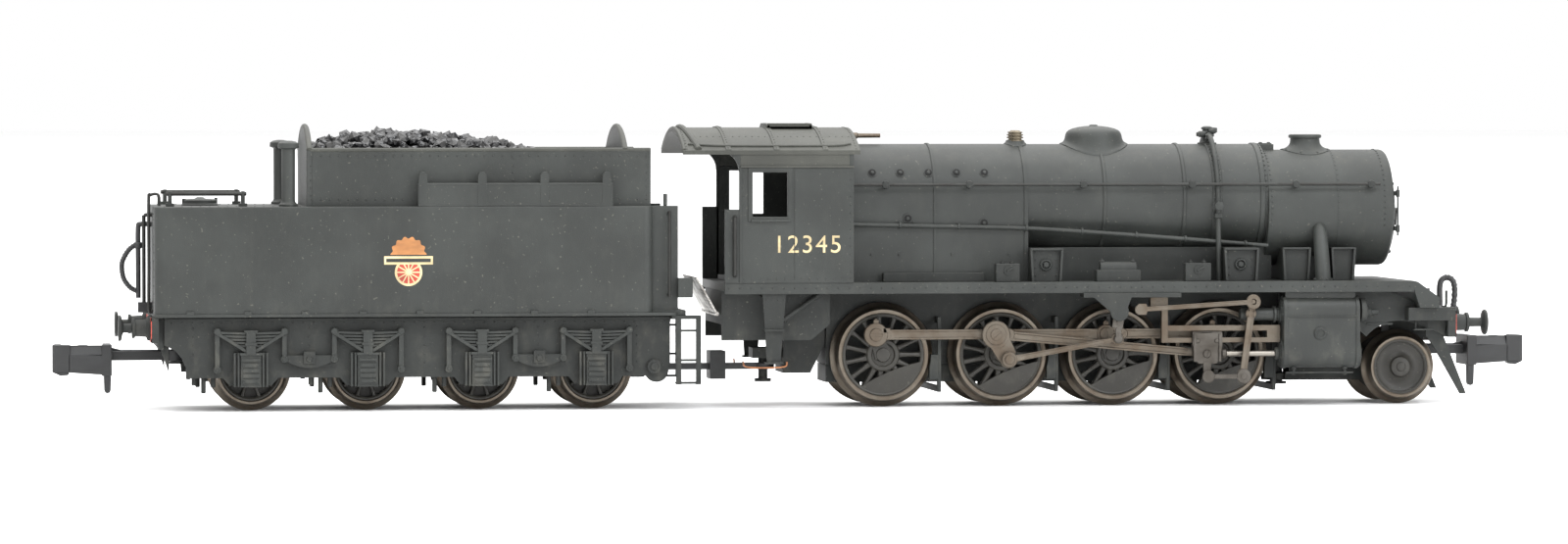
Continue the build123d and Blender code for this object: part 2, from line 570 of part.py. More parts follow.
def smokebox_door():
    """Dished door with hinge straps, dart handles and a lamp iron."""
    x = SMOKE_X[1] + 0.25
    z = SMOKE_Z - 0.3
    profile = [(x, 0), (x, 4.4), (x + 0.2, 4.4), (x + 0.3, 4.2), (x + 0.52, 3.2)]
    profile += [(x + 0.68, 2.1), (x + 0.76, 1.0), (x + 0.78, 0)]
    dish = turned_x(profile, 0, z)
    for dz in (-1.7, 1.7):
        dish += block(x, x + 0.62, -4.6, -1.0, z + dz - 0.2, z + dz + 0.2)
    dish += rod_x(x, x + 1.5, 0, z, 0.3)
    dish += bar((x + 1.15, 0, z), (x + 1.15, 1.2, z + 1.0), 0.13) + bar((x + 1.4, 0, z), (x + 1.4, 0.5, z - 1.4), 0.13)
    return dish + block(x, x + 0.25, -0.25, 0.25, z + 4.2, z + 5.6)


def chimney():
    x = CHIMNEY_X
    shape = rod_z(x, 0, 23.4, 25.8, 1.42) + rod_z(x, 0, 25.65, 26.05, 1.55)
    shape += cone_z(x, 0, 24.2, 24.95, 2.3, 1.42)
    return shape - rod_z(x, 0, 22, 27, 1.0) - rod_x(40, 60, 0, SMOKE_Z, SMOKE_R)


def dome():
    x = DOME_X
    profile = [(0, 23.5), (3.25, 23.5), (3.25, 24.3), (2.85, 24.8), (2.73, 25.2), (2.7, 25.8)]
    profile += [(2.5, 26.25), (2.05, 26.6), (1.3, 26.82), (0.35, 26.9), (0.35, 27.0), (0, 27.0)]
    shape = turned_z(profile, x, 0)
    cut = rod_x(20, 40, 0, BOILER_Z, BOILER_R)
    return shape - cut - boiler()


def safety_valves():
    shape = block(VALVE_X - 0.9, VALVE_X + 0.9, -1.5, 1.5, 24.5, 25.5)
    for y in (-0.75, 0.75):
        shape += rod_z(VALVE_X, y, 25.4, 26.2, 0.6) + rod_z(VALVE_X, y, 26.1, 26.45, 0.4)
    return shape - boiler()


def top_feed():
    shape = rod_z(FEED_X, 0, 24.5, 26.3, 0.95) + rod_z(FEED_X, 0, 26.2, 26.85, 0.55)
    for s in (1, -1):
        shape += bar((FEED_X, s * 0.6, 25.9), (FEED_X, s * 3.0, 24.75), 0.3)
    return shape - boiler()


def engine_handrails():
    """Long rails on pillar knobs along boiler and smokebox, and the cab's rear rails."""
    y, z, r = 5.85, 21.27, 0.15
    shape = rod_x(BOILER_X[0] + 0.05, 56.2, y, z, r)
    for x in (7.9, 16.0, 27.1, 37.7, 47.9, 55.3):
        shape += rod_y(x, 4.8, y + 0.2, z, 0.2)
    shape -= rod_x(BOILER_X[0], BOILER_X[1], 0, BOILER_Z, BOILER_R + 0.1)
    shape -= rod_x(*SMOKE_X, 0, SMOKE_Z, SMOKE_R)
    cab_rail = rod_z(-7.1, 9.25, 12.6, 18.3, 0.14) + block(-7.2, -7.0, 9.1, 9.3, 12.6, 12.9)
    cab_rail += block(-7.2, -7.0, 9.1, 9.3, 18.0, 18.3)
    return both(shape + cab_rail)


def engine_pipes():
    """Steam pipes to the cylinders, feed and ejector pipes, whistle pipe."""
    steam = bar((50.3, 4.0, 17.6), (50.3, 7.3, FOOT_Z[1] - 0.4), 0.85)
    ejector = bar((BOILER_X[0] + 0.05, 5.6, 17.5), (21.6, 5.6, 17.1), 0.2)
    ejector += bar((21.6, 5.6, 17.1), (36.0, 5.6, 16.1), 0.2) + bar((36.0, 5.6, 16.1), (45.1, 5.6, 15.3), 0.2)
    feed = bar((40.3, 5.55, 18.4), (40.3, 6.2, FOOT_Z[1] - 0.4), 0.24)
    shape = both(steam + ejector + feed)
    shape -= boiler() + smokebox() + block(-9, 60, -10, 10, 5, FOOT_Z[1]) + frame_stays()
    whistle = rod_x(4.96, 8.6, 0, 25.95, 0.18) + rod_x(5.4, 6.2, 0, 25.95, 0.28)
    return shape + whistle + (rod_z(8.3, 0, 24, 25.95, 0.14) - boiler())


# ---------------------------------------------------------------- cab
def roof_section(z_drop):
    """Segment of the roof's cross-section, lowered by z_drop, down to the eaves."""
    y = CAB_Y + 0.1
    arc = ThreePointArc((0, -y, EAVE_Z - z_drop), (0, 0, ROOF_Z - z_drop), (0, y, EAVE_Z - z_drop))
    base = Polyline((0, y, EAVE_Z - z_drop), (0, y, 20), (0, -y, 20), (0, -y, EAVE_Z - z_drop))
    return make_face(arc + base)


def roof_solid(x0, x1, drop):
    return extrude(Pos(x0, 0, 0) * roof_section(drop), x1 - x0, dir=(1, 0, 0))


def cab():
    """Side sheets with windows, front wall with two spectacles, and the rear lower panels."""
    x0, x1 = CAB_X
    top = CAB_TOP
    z = FOOT_Z[1]
    side = block(x0, x1, CAB_Y - SHEET, CAB_Y, z, top) - block(-5.35, -2.0, 8, 10, 18.3, 22.5)
    frame = block(-5.6, -1.75, CAB_Y, CAB_Y + 0.08, 18.05, 22.75) - block(-5.35, -2.0, 8, 10, 18.3, 22.5)
    side += frame + block(FOOT_X[0], x0, CAB_Y - SHEET, CAB_Y, z, 19.0)
    front = block(x1 - SHEET, x1, -CAB_Y, CAB_Y, z, 26.6) & roof_solid(x1 - 1, x1 + 1, SHEET + 0.02)
    front -= both(block(0, 10, 6.2, 8.2, 20.2, 22.6))
    return both(side) + front - both(block(x1 - SHEET - 1, x1 + 1, CAB_Y, 10, top, 30))


def cab_roof():
    """Arched roof with overhang, rain strips, ribs, the raised vent and upper side strips."""
    x0, x1 = ROOF_X
    shell = roof_solid(x0, x1, 0) - roof_solid(x0 - 1, x1 + 1, SHEET) - block(-20, 10, -12, 12, 10, EAVE_Z - SHEET)
    skirt = block(CAB_X[0], CAB_X[1], CAB_Y - SHEET, CAB_Y, CAB_TOP, EAVE_Z - SHEET + 0.1)
    strip = block(CAB_X[0], CAB_X[1], CAB_Y, CAB_Y + 0.12, CAB_TOP, CAB_TOP + 0.18)
    shape = shell + both(skirt + strip)
    for x in (-7.9, -3.3, 1.4):
        rib = roof_solid(x, x + 0.5, -0.1) - roof_solid(x - 1, x + 2, 0)
        shape += rib - block(-20, 10, -12, 12, 10, EAVE_Z)
    vent = roof_solid(-3.2, 1.3, -0.25) - roof_solid(-4, 2, 0)
    shape += vent & block(-3.2, 1.3, -2.6, 2.6, 20, 30)
    return shape - (block(CAB_X[1] - SHEET, CAB_X[1], -CAB_Y, CAB_Y, 20, 27) & roof_solid(3, 5, SHEET + 0.02))


def backhead():
    x1 = CAB_X[1] - SHEET
    shape = rod_x(1.6, x1, 0, BOILER_Z - 2.6, 4.6) + block(1.6, x1, -4.6, 4.6, FOOT_Z[1], BOILER_Z - 2.6)
    shape += block(1.0, 1.7, -1.4, 1.4, 14.6, 16.2) + rod_x(0.9, 1.7, 2.2, 19.6, 0.5) + rod_x(0.9, 1.7, -2.2, 19.6, 0.5)
    shape += bar((1.2, -1.6, 18.4), (1.2, 1.6, 19.3), 0.2)
    return shape + block(-7.0, x1, -4.6, 4.6, FOOT_Z[1], FOOT_Z[1] + 0.5)


# ---------------------------------------------------------------- tender
def tender_tank():
    """Tank, inset bunker with arched end plates, shelves of the fire-iron trays."""
    tank = block(*TANK_X, -TANK_Y, TANK_Y, *TANK_Z)
    tank = fillet(tank.edges().filter_by(Axis.Z), 0.9)
    lip = block(TANK_X[0], TANK_X[1] + 2.4, -TANK_Y - 0.15, TANK_Y + 0.15, TANK_Z[0], TANK_Z[0] + 0.28)
    x0, x1 = BUNKER_X
    sides = both(block(x0, x1, BUNKER_Y - 0.4, BUNKER_Y, TANK_Z[1], BUNKER_TOP))
    arch = ThreePointArc((0, -BUNKER_Y, BUNKER_TOP), (0, 0, ARCH_TOP), (0, BUNKER_Y, BUNKER_TOP))
    base = Polyline((0, BUNKER_Y, BUNKER_TOP), (0, BUNKER_Y, TANK_Z[1]), (0, -BUNKER_Y, TANK_Z[1]), (0, -BUNKER_Y, BUNKER_TOP))
    end = make_face(arch + base)
    ends = extrude(Pos(x0, 0, 0) * end, 0.5, dir=(1, 0, 0)) + extrude(Pos(-17.6, 0, 0) * end, 0.5, dir=(1, 0, 0))
    front = both(block(TANK_X[1], -12.3, 7.2, 7.6, TANK_Z[0], TANK_Z[1]) + block(-12.4, -11.0, 7.2, 8.6, 10.65, 12.5))
    front += block(TANK_X[1], -11.6, -8.0, 8.0, TANK_Z[0], TANK_Z[0] + 0.5)
    trays = both(block(-37.1, -18.6, BUNKER_Y, 8.7, TANK_Z[1], TANK_Z[1] + 0.3))
    trays += both(block(-37.1, -18.6, 8.5, 8.7, TANK_Z[1], 21.4))
    for x in (-36.6, -31.0, -25.1, -19.2):
        trays += both(block(x - 0.45, x + 0.45, 8.3, 8.7, TANK_Z[1], 22.6))
    return tank + lip + sides + ends + front + trays


def coal_load():
    """Coal heap filling the bunker, a rounded mound higher towards the middle."""
    x0, x1 = BUNKER_X[0] + 0.5, -17.6
    y = BUNKER_Y - 0.4
    heap = block(x0, x1, -y, y, TANK_Z[1], 23.4)
    mound = ThreePointArc((0, -y, 23.4), (0, 0, 26.4), (0, y, 23.4))
    floor = Line((0, y, 23.4), (0, -y, 23.4))
    return heap + extrude(Pos(x0, 0, 0) * make_face(mound + floor), -20.5 - x0, dir=(1, 0, 0))


def tender_frames():
    """Outside frames with leaf springs, equalising beams and axleboxes."""
    y0, y1 = FRAME_Y
    outline = [(-60.3, 3.2), (-15.2, 3.2), (-14.6, 2.7), (-13.6, 2.6), (-13.05, 3.3), (-13.05, TANK_Z[0])]
    outline += [(-60.9, TANK_Z[0]), (-60.9, 7.0)]
    shape = plate_y(outline, y0, y1) + rod_y(-14.6, y1, y1 + 0.3, 4.1, 0.7)
    for x in BOX_X:
        box = block(x - 0.95, x + 0.95, y1, 8.45, 2.55, 5.5) + block(x - 1.65, x + 1.65, y1, 8.1, 2.4, 5.6)
        leaves = block(x - 3.2, x + 3.2, y1, 8.35, 7.0, 7.5) + block(x - 2.2, x + 2.2, y1, 8.35, 6.5, 7.0)
        leaves += block(x - 1.2, x + 1.2, y1, 8.35, 6.0, 6.5) + block(x - 0.35, x + 0.35, y1, 8.5, 5.5, 7.6)
        shape += box + leaves
        for s in (-1, 1):
            shape += block(x + s * 3.15 - 0.18, x + s * 3.15 + 0.18, y1, 8.3, 3.7, 7.7)
    for a, b in ((0, 1), (2, 3)):
        shape += block(BOX_X[a] + 3.1, BOX_X[b] - 3.1, y1, 8.3, 4.7, 5.5)
    return both(shape)


def tender_floor():
    """Floor plate with the pins of drawbar and coupler, and the blocks above the steps."""
    shape = block(-60.9, -13.0, -7.3, 7.3, 8.3, TANK_Z[0])
    shape += rod_z(COUPLER_PIVOT[0], 0, 4.4, 8.4, 0.4) + rod_z(COUPLER_PIVOT[0], 0, 4.3, 4.5, 0.7)
    shape += rod_z(DRAW_TENDER, 0, 3.0, 8.4, 0.45) + rod_z(DRAW_TENDER, 0, 2.8, 3.1, 0.8)
    return shape + both(block(-13.0, -10.2, 7.3, 8.6, 8.6, TANK_Z[0]))


def tender_bearings():
    """Two inside plates that carry the four axles."""
    plates = both(block(-56.0, -17.4, 1.8, 2.6, 3.0, 8.3))
    for x in TENDER_X:
        plates -= rod_y(x, -4, 4, TENDER_R + RAIL_TOP, SMALL_AXLE_R + RUN)
    return plates


def tender_beam():
    """Rear buffer beam with its stiffeners."""
    shape = block(-62.1, -61.4, -8.4, 8.4, 6.55, TANK_Z[0]) + block(-61.4, -60.9, -7.2, 7.2, 5.9, TANK_Z[0])
    return shape + both(plate_y([(-61.4, 6.5), (-60.4, 3.6), (-60.4, 6.5)], 6.0, 6.4)) - tender_tank()


def tender_buffers():
    return both(buffer(False))


def tender_steps():
    """Front footsteps on two hangers each side."""
    shape = block(-12.6, -12.1, 8.35, 8.6, 2.4, 8.6) + block(-10.7, -10.2, 8.35, 8.6, 2.4, 8.6)
    for low in (2.45, 4.6, 7.4):
        shape += block(-12.6, -10.2, 7.6, 8.6, low, low + 0.2)
    return both(shape)


def tender_fittings():
    """Vents, rails, filler, ladder, rear pipes and moulded hose, front handrails."""
    z = TANK_Z[1]
    vent = rod_z(-49.2, 7.2, z, z + 0.3, 0.85) + rod_z(-49.2, 7.2, z, 25.0, 0.65) + rod_z(-49.2, 7.2, 24.9, 25.55, 0.95)
    rail = rod_x(-60.7, -53.1, 6.6, 20.55, 0.25) + block(-60.7, -59.9, 6.3, 6.9, z, 20.9) + block(-53.8, -53.1, 6.3, 6.9, z, 20.9)
    handrail = rod_z(-13.2, 8.3, 10.6, 18.7, 0.14) + block(-13.3, -13.1, 7.6, 8.4, 18.4, 18.7)
    handrail += block(-13.3, -13.1, 7.6, 8.4, 10.9, 11.1) + rod_z(-13.4, 7.4, z, 20.5, 0.2)
    shape = both(vent + rail + handrail) + rod_z(-57.2, 0, z, 19.8, 1.6) + rod_z(-57.2, 0, z, 20.0, 0.4)
    x = TANK_X[0]
    for y in (-4.9, -3.3):
        shape += rod_z(x - 0.35, y, 9.4, 20.4, 0.14) + block(x - 0.4, x, y - 0.1, y + 0.1, 19.0, 19.2)
        shape += block(x - 0.4, x, y - 0.1, y + 0.1, 9.4, 9.6)
    for i in range(6):
        shape += rod_y(x - 0.35, -4.9, -3.3, 10.6 + 1.6 * i, 0.12)
    shape += rod_z(x - 0.75, -2.2, 9.2, 18.8, 0.18) + block(x - 0.8, x, -2.3, -2.1, 18.3, 18.6)
    shape += rod_z(x - 1.25, -1.0, 10.6, 18.0, 0.2) + block(x - 1.3, x, -1.15, -0.85, 17.4, 17.7)
    path = FilletPolyline((x - 1.25, -1.0, 15.6), (x - 2.75, -1.0, 14.2), (x - 2.75, -1.0, 12.6), (x - 1.25, -1.0, 11.2), radius=0.6)
    shape += sweep(Plane(path @ 0, z_dir=path % 0) * Circle(0.22), path)
    return shape + block(x - 1.3, x, -2.4, -0.4, 9.25, 10.3)


# ---------------------------------------------------------------- writing the parts
SIDES = {"near": (-1, NEAR_CRANK), "far": (1, FAR_CRANK)}
PAIRED = {
    "coupling_rod": coupling_rod, "connecting_rod": connecting_rod, "crosshead": crosshead,
    "combination_lever": combination_lever, "radius_rod": radius_rod,
    "eccentric_rod": eccentric_rod, "expansion_link": expansion_link,
}
SINGLE = (
    chassis, keeper_plate, motor, worm_shaft, footplate, front_beam, front_fittings, pony_truck,
    cylinders, slide_bars, motion_brackets, frame_stays, platform_boxes, brake_gear, ashpan, drawbar,
    fall_plate, boiler, smokebox, smokebox_door, chimney, dome, safety_valves, top_feed,
    engine_handrails, engine_pipes, cab, cab_roof, backhead, tender_tank, coal_load, tender_frames,
    tender_floor, tender_bearings, tender_beam, tender_buffers, tender_steps, tender_fittings,
)

if __name__ == "__main__":
    for make in SINGLE:
        save(make.__name__, make())
    for name, make in PAIRED.items():
        for side_name, (side, crank) in SIDES.items():
            save(f"{name}_{side_name}", sided(make(crank), side))
    for number, index in enumerate(reversed(range(4)), 1):
        save(f"driver_{number}", driver_wheelset(index))
    for number, x in enumerate(reversed(TENDER_X), 1):
        save(f"tender_wheelset_{number}", plain_wheelset(TENDER_R, x, 10))
    save("pony_wheelset", plain_wheelset(PONY_R, PONY_X))
    for end in ("front", "rear"):
        save(f"coupler_{end}", coupler(end))
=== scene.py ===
"""Small-scale freight steam locomotive and tender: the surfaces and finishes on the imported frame."""
import json
import math

import bmesh
import bpy
import numpy as np
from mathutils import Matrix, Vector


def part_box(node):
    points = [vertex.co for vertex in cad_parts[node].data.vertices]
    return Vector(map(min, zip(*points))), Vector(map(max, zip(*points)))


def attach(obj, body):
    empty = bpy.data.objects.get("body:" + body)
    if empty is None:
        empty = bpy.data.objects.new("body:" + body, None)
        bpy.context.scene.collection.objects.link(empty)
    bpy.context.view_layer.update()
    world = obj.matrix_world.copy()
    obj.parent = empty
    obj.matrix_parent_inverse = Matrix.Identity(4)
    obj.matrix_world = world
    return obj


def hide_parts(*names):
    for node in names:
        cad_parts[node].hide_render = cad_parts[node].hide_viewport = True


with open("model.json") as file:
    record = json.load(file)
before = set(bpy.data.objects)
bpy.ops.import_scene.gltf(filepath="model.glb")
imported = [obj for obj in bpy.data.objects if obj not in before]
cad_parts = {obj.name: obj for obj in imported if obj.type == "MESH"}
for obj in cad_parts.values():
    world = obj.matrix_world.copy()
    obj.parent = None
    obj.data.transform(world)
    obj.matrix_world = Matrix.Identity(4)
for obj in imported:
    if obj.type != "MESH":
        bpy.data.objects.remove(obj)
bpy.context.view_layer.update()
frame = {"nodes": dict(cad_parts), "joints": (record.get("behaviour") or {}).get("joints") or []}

bl_info = {
    "name": "Freight locomotive pieces",
    "version": (1, 0, 0),
    "blender": (4, 5, 0),
    "location": "3D View > Sidebar > Locomotive",
    "description": "Builds the surfaces and finishes of a small-scale steam locomotive with its tender",
    "category": "Object",
}

# Shapes are worked out in millimetres and scaled once, when a piece is put in place.
MM = 0.001
JOINTS = {joint["name"]: joint for joint in frame["joints"]}
NEAR, FAR = -1, 1
SIDE_NAMES = {NEAR: "near", FAR: "far"}


def box(node):
    """Lowest and highest corner of a CAD node, in millimetres."""
    low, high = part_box(node)
    return np.array(low) / MM, np.array(high) / MM


def pivot(joint):
    """Position of a joint, in millimetres."""
    return np.array(JOINTS[joint]["pos_m"]) / MM


# ------------------------------------------------------------------ surfaces
def grid(points, around=False, caps=False):
    """Quads over an (n, m, 3) array; around joins the last column to the first, caps fill both ends."""
    points = np.asarray(points, float)
    n, m = points.shape[:2]
    index = np.arange(n * m).reshape(n, m)
    right = np.roll(index, -1, axis=1) if around else index[:, 1:]
    left = index if around else index[:, :-1]
    quads = np.stack([left[:-1], right[:-1], right[1:], left[1:]], axis=-1).reshape(-1, 4)
    faces = quads.tolist()
    if caps:
        faces += [index[0, ::-1].tolist(), index[-1].tolist()]
    return points.reshape(-1, 3), faces


def join(*shapes):
    """One shape from several."""
    points, faces, offset = [], [], 0
    for p, f in shapes:
        points.append(p)
        faces += [[i + offset for i in face] for face in f]
        offset += len(p)
    return np.concatenate(points), faces


def moved(shape, by):
    return shape[0] + np.asarray(by, float), shape[1]


def sided(shape, side):
    """A shape drawn for positive Y, put on the side given by the sign."""
    points, faces = shape
    if side > 0:
        return shape
    return points * (1, -1, 1), [face[::-1] for face in faces]


def both(shape):
    return join(shape, sided(shape, NEAR))


def circle(n, start=0.0):
    return start + np.linspace(0, 2 * np.pi, n, endpoint=False)


def lathe(profile, centre=(0, 0, 0), axis="z", steps=48):
    """Revolution: each (radius, height) of the profile becomes a circle about the axis."""
    r, h = np.array(profile, float).T
    t = circle(steps)
    a, b = r[:, None] * np.cos(t), r[:, None] * np.sin(t)
    h = np.repeat(h[:, None], steps, axis=1)
    order = {"z": (a, b, h), "x": (h, a, b), "y": (b, h, a)}[axis]
    return moved(grid(np.stack(order, axis=-1), around=True), centre)


def arc(centre, radius, start, end, steps=8):
    """Points (x, y) of a circular arc between two angles in degrees."""
    t = np.radians(np.linspace(start, end, steps))
    return np.stack([centre[0] + radius * np.cos(t), centre[1] + radius * np.sin(t)], axis=-1)


def slab(low, high):
    """Box between two corners."""
    low, high = np.array(low, float), np.array(high, float)
    corner = np.array([(0, 0), (1, 0), (1, 1), (0, 1)], float)
    points = np.zeros((2, 4, 3))
    points[:, :, :2] = low[:2] + corner * (high - low)[:2]
    points[0, :, 2], points[1, :, 2] = low[2], high[2]
    return grid(points, around=True, caps=True)


def slabs(rows):
    """Several boxes, each given as x0, x1, y0, y1, z0, z1."""
    return join(*(slab(r[::2], r[1::2]) for r in rows))


def plate(outline, y0, y1):
    """Flat plate: an outline in X and Z carried from one Y plane to another."""
    outline = np.array(outline, float)
    points = np.zeros((2, len(outline), 3))
    points[:, :, [0, 2]] = outline
    points[0, :, 1], points[1, :, 1] = y0, y1
    return grid(points, around=True, caps=True)


def prism_x(outline, x0, x1):
    """An outline in Y and Z carried along X."""
    outline = np.array(outline, float)
    points = np.zeros((2, len(outline), 3))
    points[:, :, 1:] = outline
    points[0, :, 0], points[1, :, 0] = x0, x1
    return grid(points, around=True, caps=True)


def smooth_path(corners, steps=10):
    """Catmull-Rom curve through the corners: cubic blends of four neighbouring points."""
    p = np.array(corners, float)
    p = np.concatenate([[2 * p[0] - p[1]], p, [2 * p[-1] - p[-2]]])
    t = np.linspace(0, 1, steps, endpoint=False)[None, :, None]
    a, b, c, d = (p[i:len(p) - 3 + i, None, :] for i in range(4))
    curve = 0.5 * (2 * b + (c - a) * t + (2 * a - 5 * b + 4 * c - d) * t**2 + (3 * b - a - 3 * c + d) * t**3)
    return np.concatenate([curve.reshape(-1, 3), p[-2:-1]])


def tube(path, radius, sides=12):
    """Round tube: a circle carried along a path in the planes square to its tangents."""
    path = np.asarray(path, float)
    tangent = np.gradient(path, axis=0)
    tangent /= np.linalg.norm(tangent, axis=1, keepdims=True)
    spread = np.ptp(path, axis=0)
    helper = np.eye(3)[np.argmin(spread)]
    u = np.cross(tangent, helper)
    u /= np.linalg.norm(u, axis=1, keepdims=True)
    v = np.cross(tangent, u)
    t = circle(sides)
    r = np.broadcast_to(np.asarray(radius, float), len(path))[:, None, None]
    ring = np.cos(t)[None, :, None] * u[:, None, :] + np.sin(t)[None, :, None] * v[:, None, :]
    return grid(path[:, None, :] + r * ring, around=True, caps=True)


def rod(a, b, radius, sides=16):
    """Straight round bar with slightly rounded ends."""
    a, b = np.array(a, float), np.array(b, float)
    length = np.linalg.norm(b - a)
    ease = min(0.3 * radius, 0.2 * length) / length
    s = np.array([0, ease, 1 - ease, 1])[:, None]
    return tube(a + (b - a) * s, radius * np.array([0.75, 1, 1, 0.75]), sides)


def studs(points, normals, radius=0.11, height=0.06, sides=7):
    """Rivet heads: a low dome, three rings high, set on each point along its normal."""
    points = np.atleast_2d(np.array(points, float))
    normals = np.broadcast_to(np.array(normals, float), points.shape)
    normals = normals / np.linalg.norm(normals, axis=1, keepdims=True)
    helper = np.where(np.abs(normals[:, :1]) > 0.9, [[0.0, 1.0, 0.0]], [[1.0, 0.0, 0.0]])
    u = np.cross(normals, helper)
    u /= np.linalg.norm(u, axis=1, keepdims=True)
    v = np.cross(normals, u)
    t = circle(sides)
    ring = np.cos(t)[None, :, None] * u[:, None, :] + np.sin(t)[None, :, None] * v[:, None, :]
    levels = [(1.0, -0.02), (0.85, 0.6), (0.45, 0.95)]
    rows = [points[:, None] + ring * radius * r + normals[:, None] * height * h for r, h in levels]
    top = points[:, None] + normals[:, None] * height
    block = np.concatenate(rows + [top], axis=1)
    k = np.arange(sides)
    n = np.roll(k, -1)
    quads = [[a + s * sides, b + s * sides, b + (s + 1) * sides, a + (s + 1) * sides]
             for s in range(2) for a, b in zip(k, n)]
    tips = [[a + 2 * sides, b + 2 * sides, 3 * sides] for a, b in zip(k, n)]
    cell = quads + tips + [k[::-1].tolist()]
    size = block.shape[1]
    return block.reshape(-1, 3), [[int(i) + j * size for i in f] for j in range(len(points)) for f in cell]


def row(start, end, spacing):
    """Evenly spaced points between two ends, as near to the spacing as fits."""
    start, end = np.array(start, float), np.array(end, float)
    count = max(2, int(round(np.linalg.norm(end - start) / spacing)) + 1)
    return start + (end - start) * np.linspace(0, 1, count)[:, None]


def flat_bar(path, y0, y1, height):
    """Bar of rectangular section carried along a path in X and Z; height may vary along it."""
    path = np.array(path, float)
    tangent = np.gradient(path, axis=0)
    tangent /= np.linalg.norm(tangent, axis=1, keepdims=True)
    normal = np.stack([-tangent[:, 1], tangent[:, 0]], axis=-1)
    half = np.broadcast_to(np.asarray(height, float) / 2, len(path))[:, None]
    top, low = path + normal * half, path - normal * half
    points = np.zeros((len(path), 4, 3))
    for k, (edge, y) in enumerate(((low, y0), (low, y1), (top, y1), (top, y0))):
        points[:, k, 0], points[:, k, 1], points[:, k, 2] = edge[:, 0], y, edge[:, 1]
    return grid(points, around=True, caps=True)


def fluted_rod(a, b, y0, y1, height, flute, margin):
    """Rod with a hollow along its outer face: an eight-point section whose outer middle
    sinks by the flute's depth, eased in and out over the margin at both ends."""
    a, b = np.array(a, float), np.array(b, float)
    length = np.linalg.norm(b - a)
    s = np.concatenate([[0], margin + (length - 2 * margin) * np.array([0, 0.01, 0.03, 0.3, 0.7, 0.97, 0.99, 1]), [length]])
    depth = flute * np.array([0, 0, 0.6, 1, 1, 1, 1, 0.6, 0, 0])
    along = (b - a) / length
    across = np.array([-along[1], along[0]])
    h = np.broadcast_to(np.asarray(height, float), len(s)) / 2
    section = [(-1, 0, 0), (-1, 1, 0), (-0.62, 1, 0), (-0.5, 1, 1), (0.5, 1, 1), (0.62, 1, 0), (1, 1, 0), (1, 0, 0)]
    points = np.zeros((len(s), len(section), 3))
    for k, (up, out, sink) in enumerate(section):
        flat = a + along * s[:, None] + across * (up * h)[:, None]
        points[:, k, 0], points[:, k, 2] = flat[:, 0], flat[:, 1]
        points[:, k, 1] = (y1 if out else y0) - sink * depth
    return grid(points, around=True, caps=True)


def eye(centre, y0, y1, radius, hole=0.0, steps=32):
    """Round boss across Y with rounded edges, and a hole if one is given."""
    e = min(0.08, 0.3 * (y1 - y0))
    if hole:
        profile = [(hole, y0), (radius - e, y0), (radius, y0 + e), (radius, y1 - e), (radius - e, y1), (hole, y1), (hole, y0)]
    else:
        profile = [(0, y0), (radius - e, y0), (radius, y0 + e), (radius, y1 - e), (radius - e, y1), (0, y1)]
    return lathe(profile, (centre[0], 0, centre[1]), "y", steps)


# ------------------------------------------------------------------ putting pieces in place
def finish_mesh(mesh, angle):
    """Merge doubled points, turn faces outwards and keep edges sharper than the angle crisp."""
    work = bmesh.new()
    work.from_mesh(mesh)
    bmesh.ops.remove_doubles(work, verts=work.verts, dist=2e-7)
    bmesh.ops.dissolve_degenerate(work, edges=work.edges, dist=1e-8)
    bmesh.ops.recalc_face_normals(work, faces=work.faces)
    work.to_mesh(mesh)
    work.free()
    mesh.shade_smooth()
    mesh.set_sharp_from_angle(angle=math.radians(angle))


def put(name, shape, body, finish, replaces=(), bevel=0.0, angle=35.0):
    """Makes a piece from a shape in millimetres, rounds its edges and rides it on a body."""
    points, faces = shape
    mesh = bpy.data.meshes.new(name)
    mesh.from_pydata((np.asarray(points) * MM).tolist(), [], faces)
    finish_mesh(mesh, angle)
    return place(name, mesh, body, finish, replaces, bevel)


def place(name, mesh, body, finish, replaces=(), bevel=0.0):
    piece = bpy.data.objects.new(name, mesh)
    bpy.context.scene.collection.objects.link(piece)
    mesh.materials.clear()
    mesh.materials.append(finish)
    if bevel:
        edge = piece.modifiers.new("rounded edges", "BEVEL")
        edge.width = bevel * MM
        edge.segments = 2
        edge.limit_method = "ANGLE"
        edge.angle_limit = math.radians(38)
        edge.harden_normals = True
    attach(piece, body)
    if replaces:
        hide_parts(*replaces)
    return piece


def softened(node, body, finish, bevel=0.06, angle=32.0):
    """A merged copy of a CAD node with its edges rounded, in place of the node."""
    mesh = frame["nodes"][node].data.copy()
    work = bmesh.new()
    work.from_mesh(mesh)
    bmesh.ops.remove_doubles(work, verts=work.verts, dist=1e-7)
    bmesh.ops.dissolve_limit(work, angle_limit=math.radians(0.6), verts=work.verts, edges=work.edges)
    bmesh.ops.recalc_face_normals(work, faces=work.faces)
    work.to_mesh(mesh)
    work.free()
    mesh.shade_smooth()
    mesh.set_sharp_from_angle(angle=math.radians(angle))
    return place(f"{node}_body", mesh, body, finish, (node,), bevel)


# ------------------------------------------------------------------ finishes
class Link:
    """A value or colour socket that takes part in Python expressions."""

    def __init__(self, tree, socket):
        self.tree, self.socket = tree, socket

    def _math(self, operation, *values):
        node = self.tree.nodes.new("ShaderNodeMath")
        node.operation = operation
        for slot, value in zip(node.inputs, values):
            if isinstance(value, Link):
                self.tree.links.new(value.socket, slot)
            else:
                slot.default_value = value
        return Link(self.tree, node.outputs[0])

    def __add__(self, other):
        return self._math("ADD", self, other)

    def __sub__(self, other):
        return self._math("SUBTRACT", self, other)

    def __rsub__(self, other):
        return self._math("SUBTRACT", other, self)

    def __mul__(self, other):
        return self._math("MULTIPLY", self, other)

    def __pow__(self, other):
        return self._math("POWER", self, other)

    def most(self, other):
        return self._math("MAXIMUM", self, other)

    __radd__ = __add__
    __rmul__ = __mul__


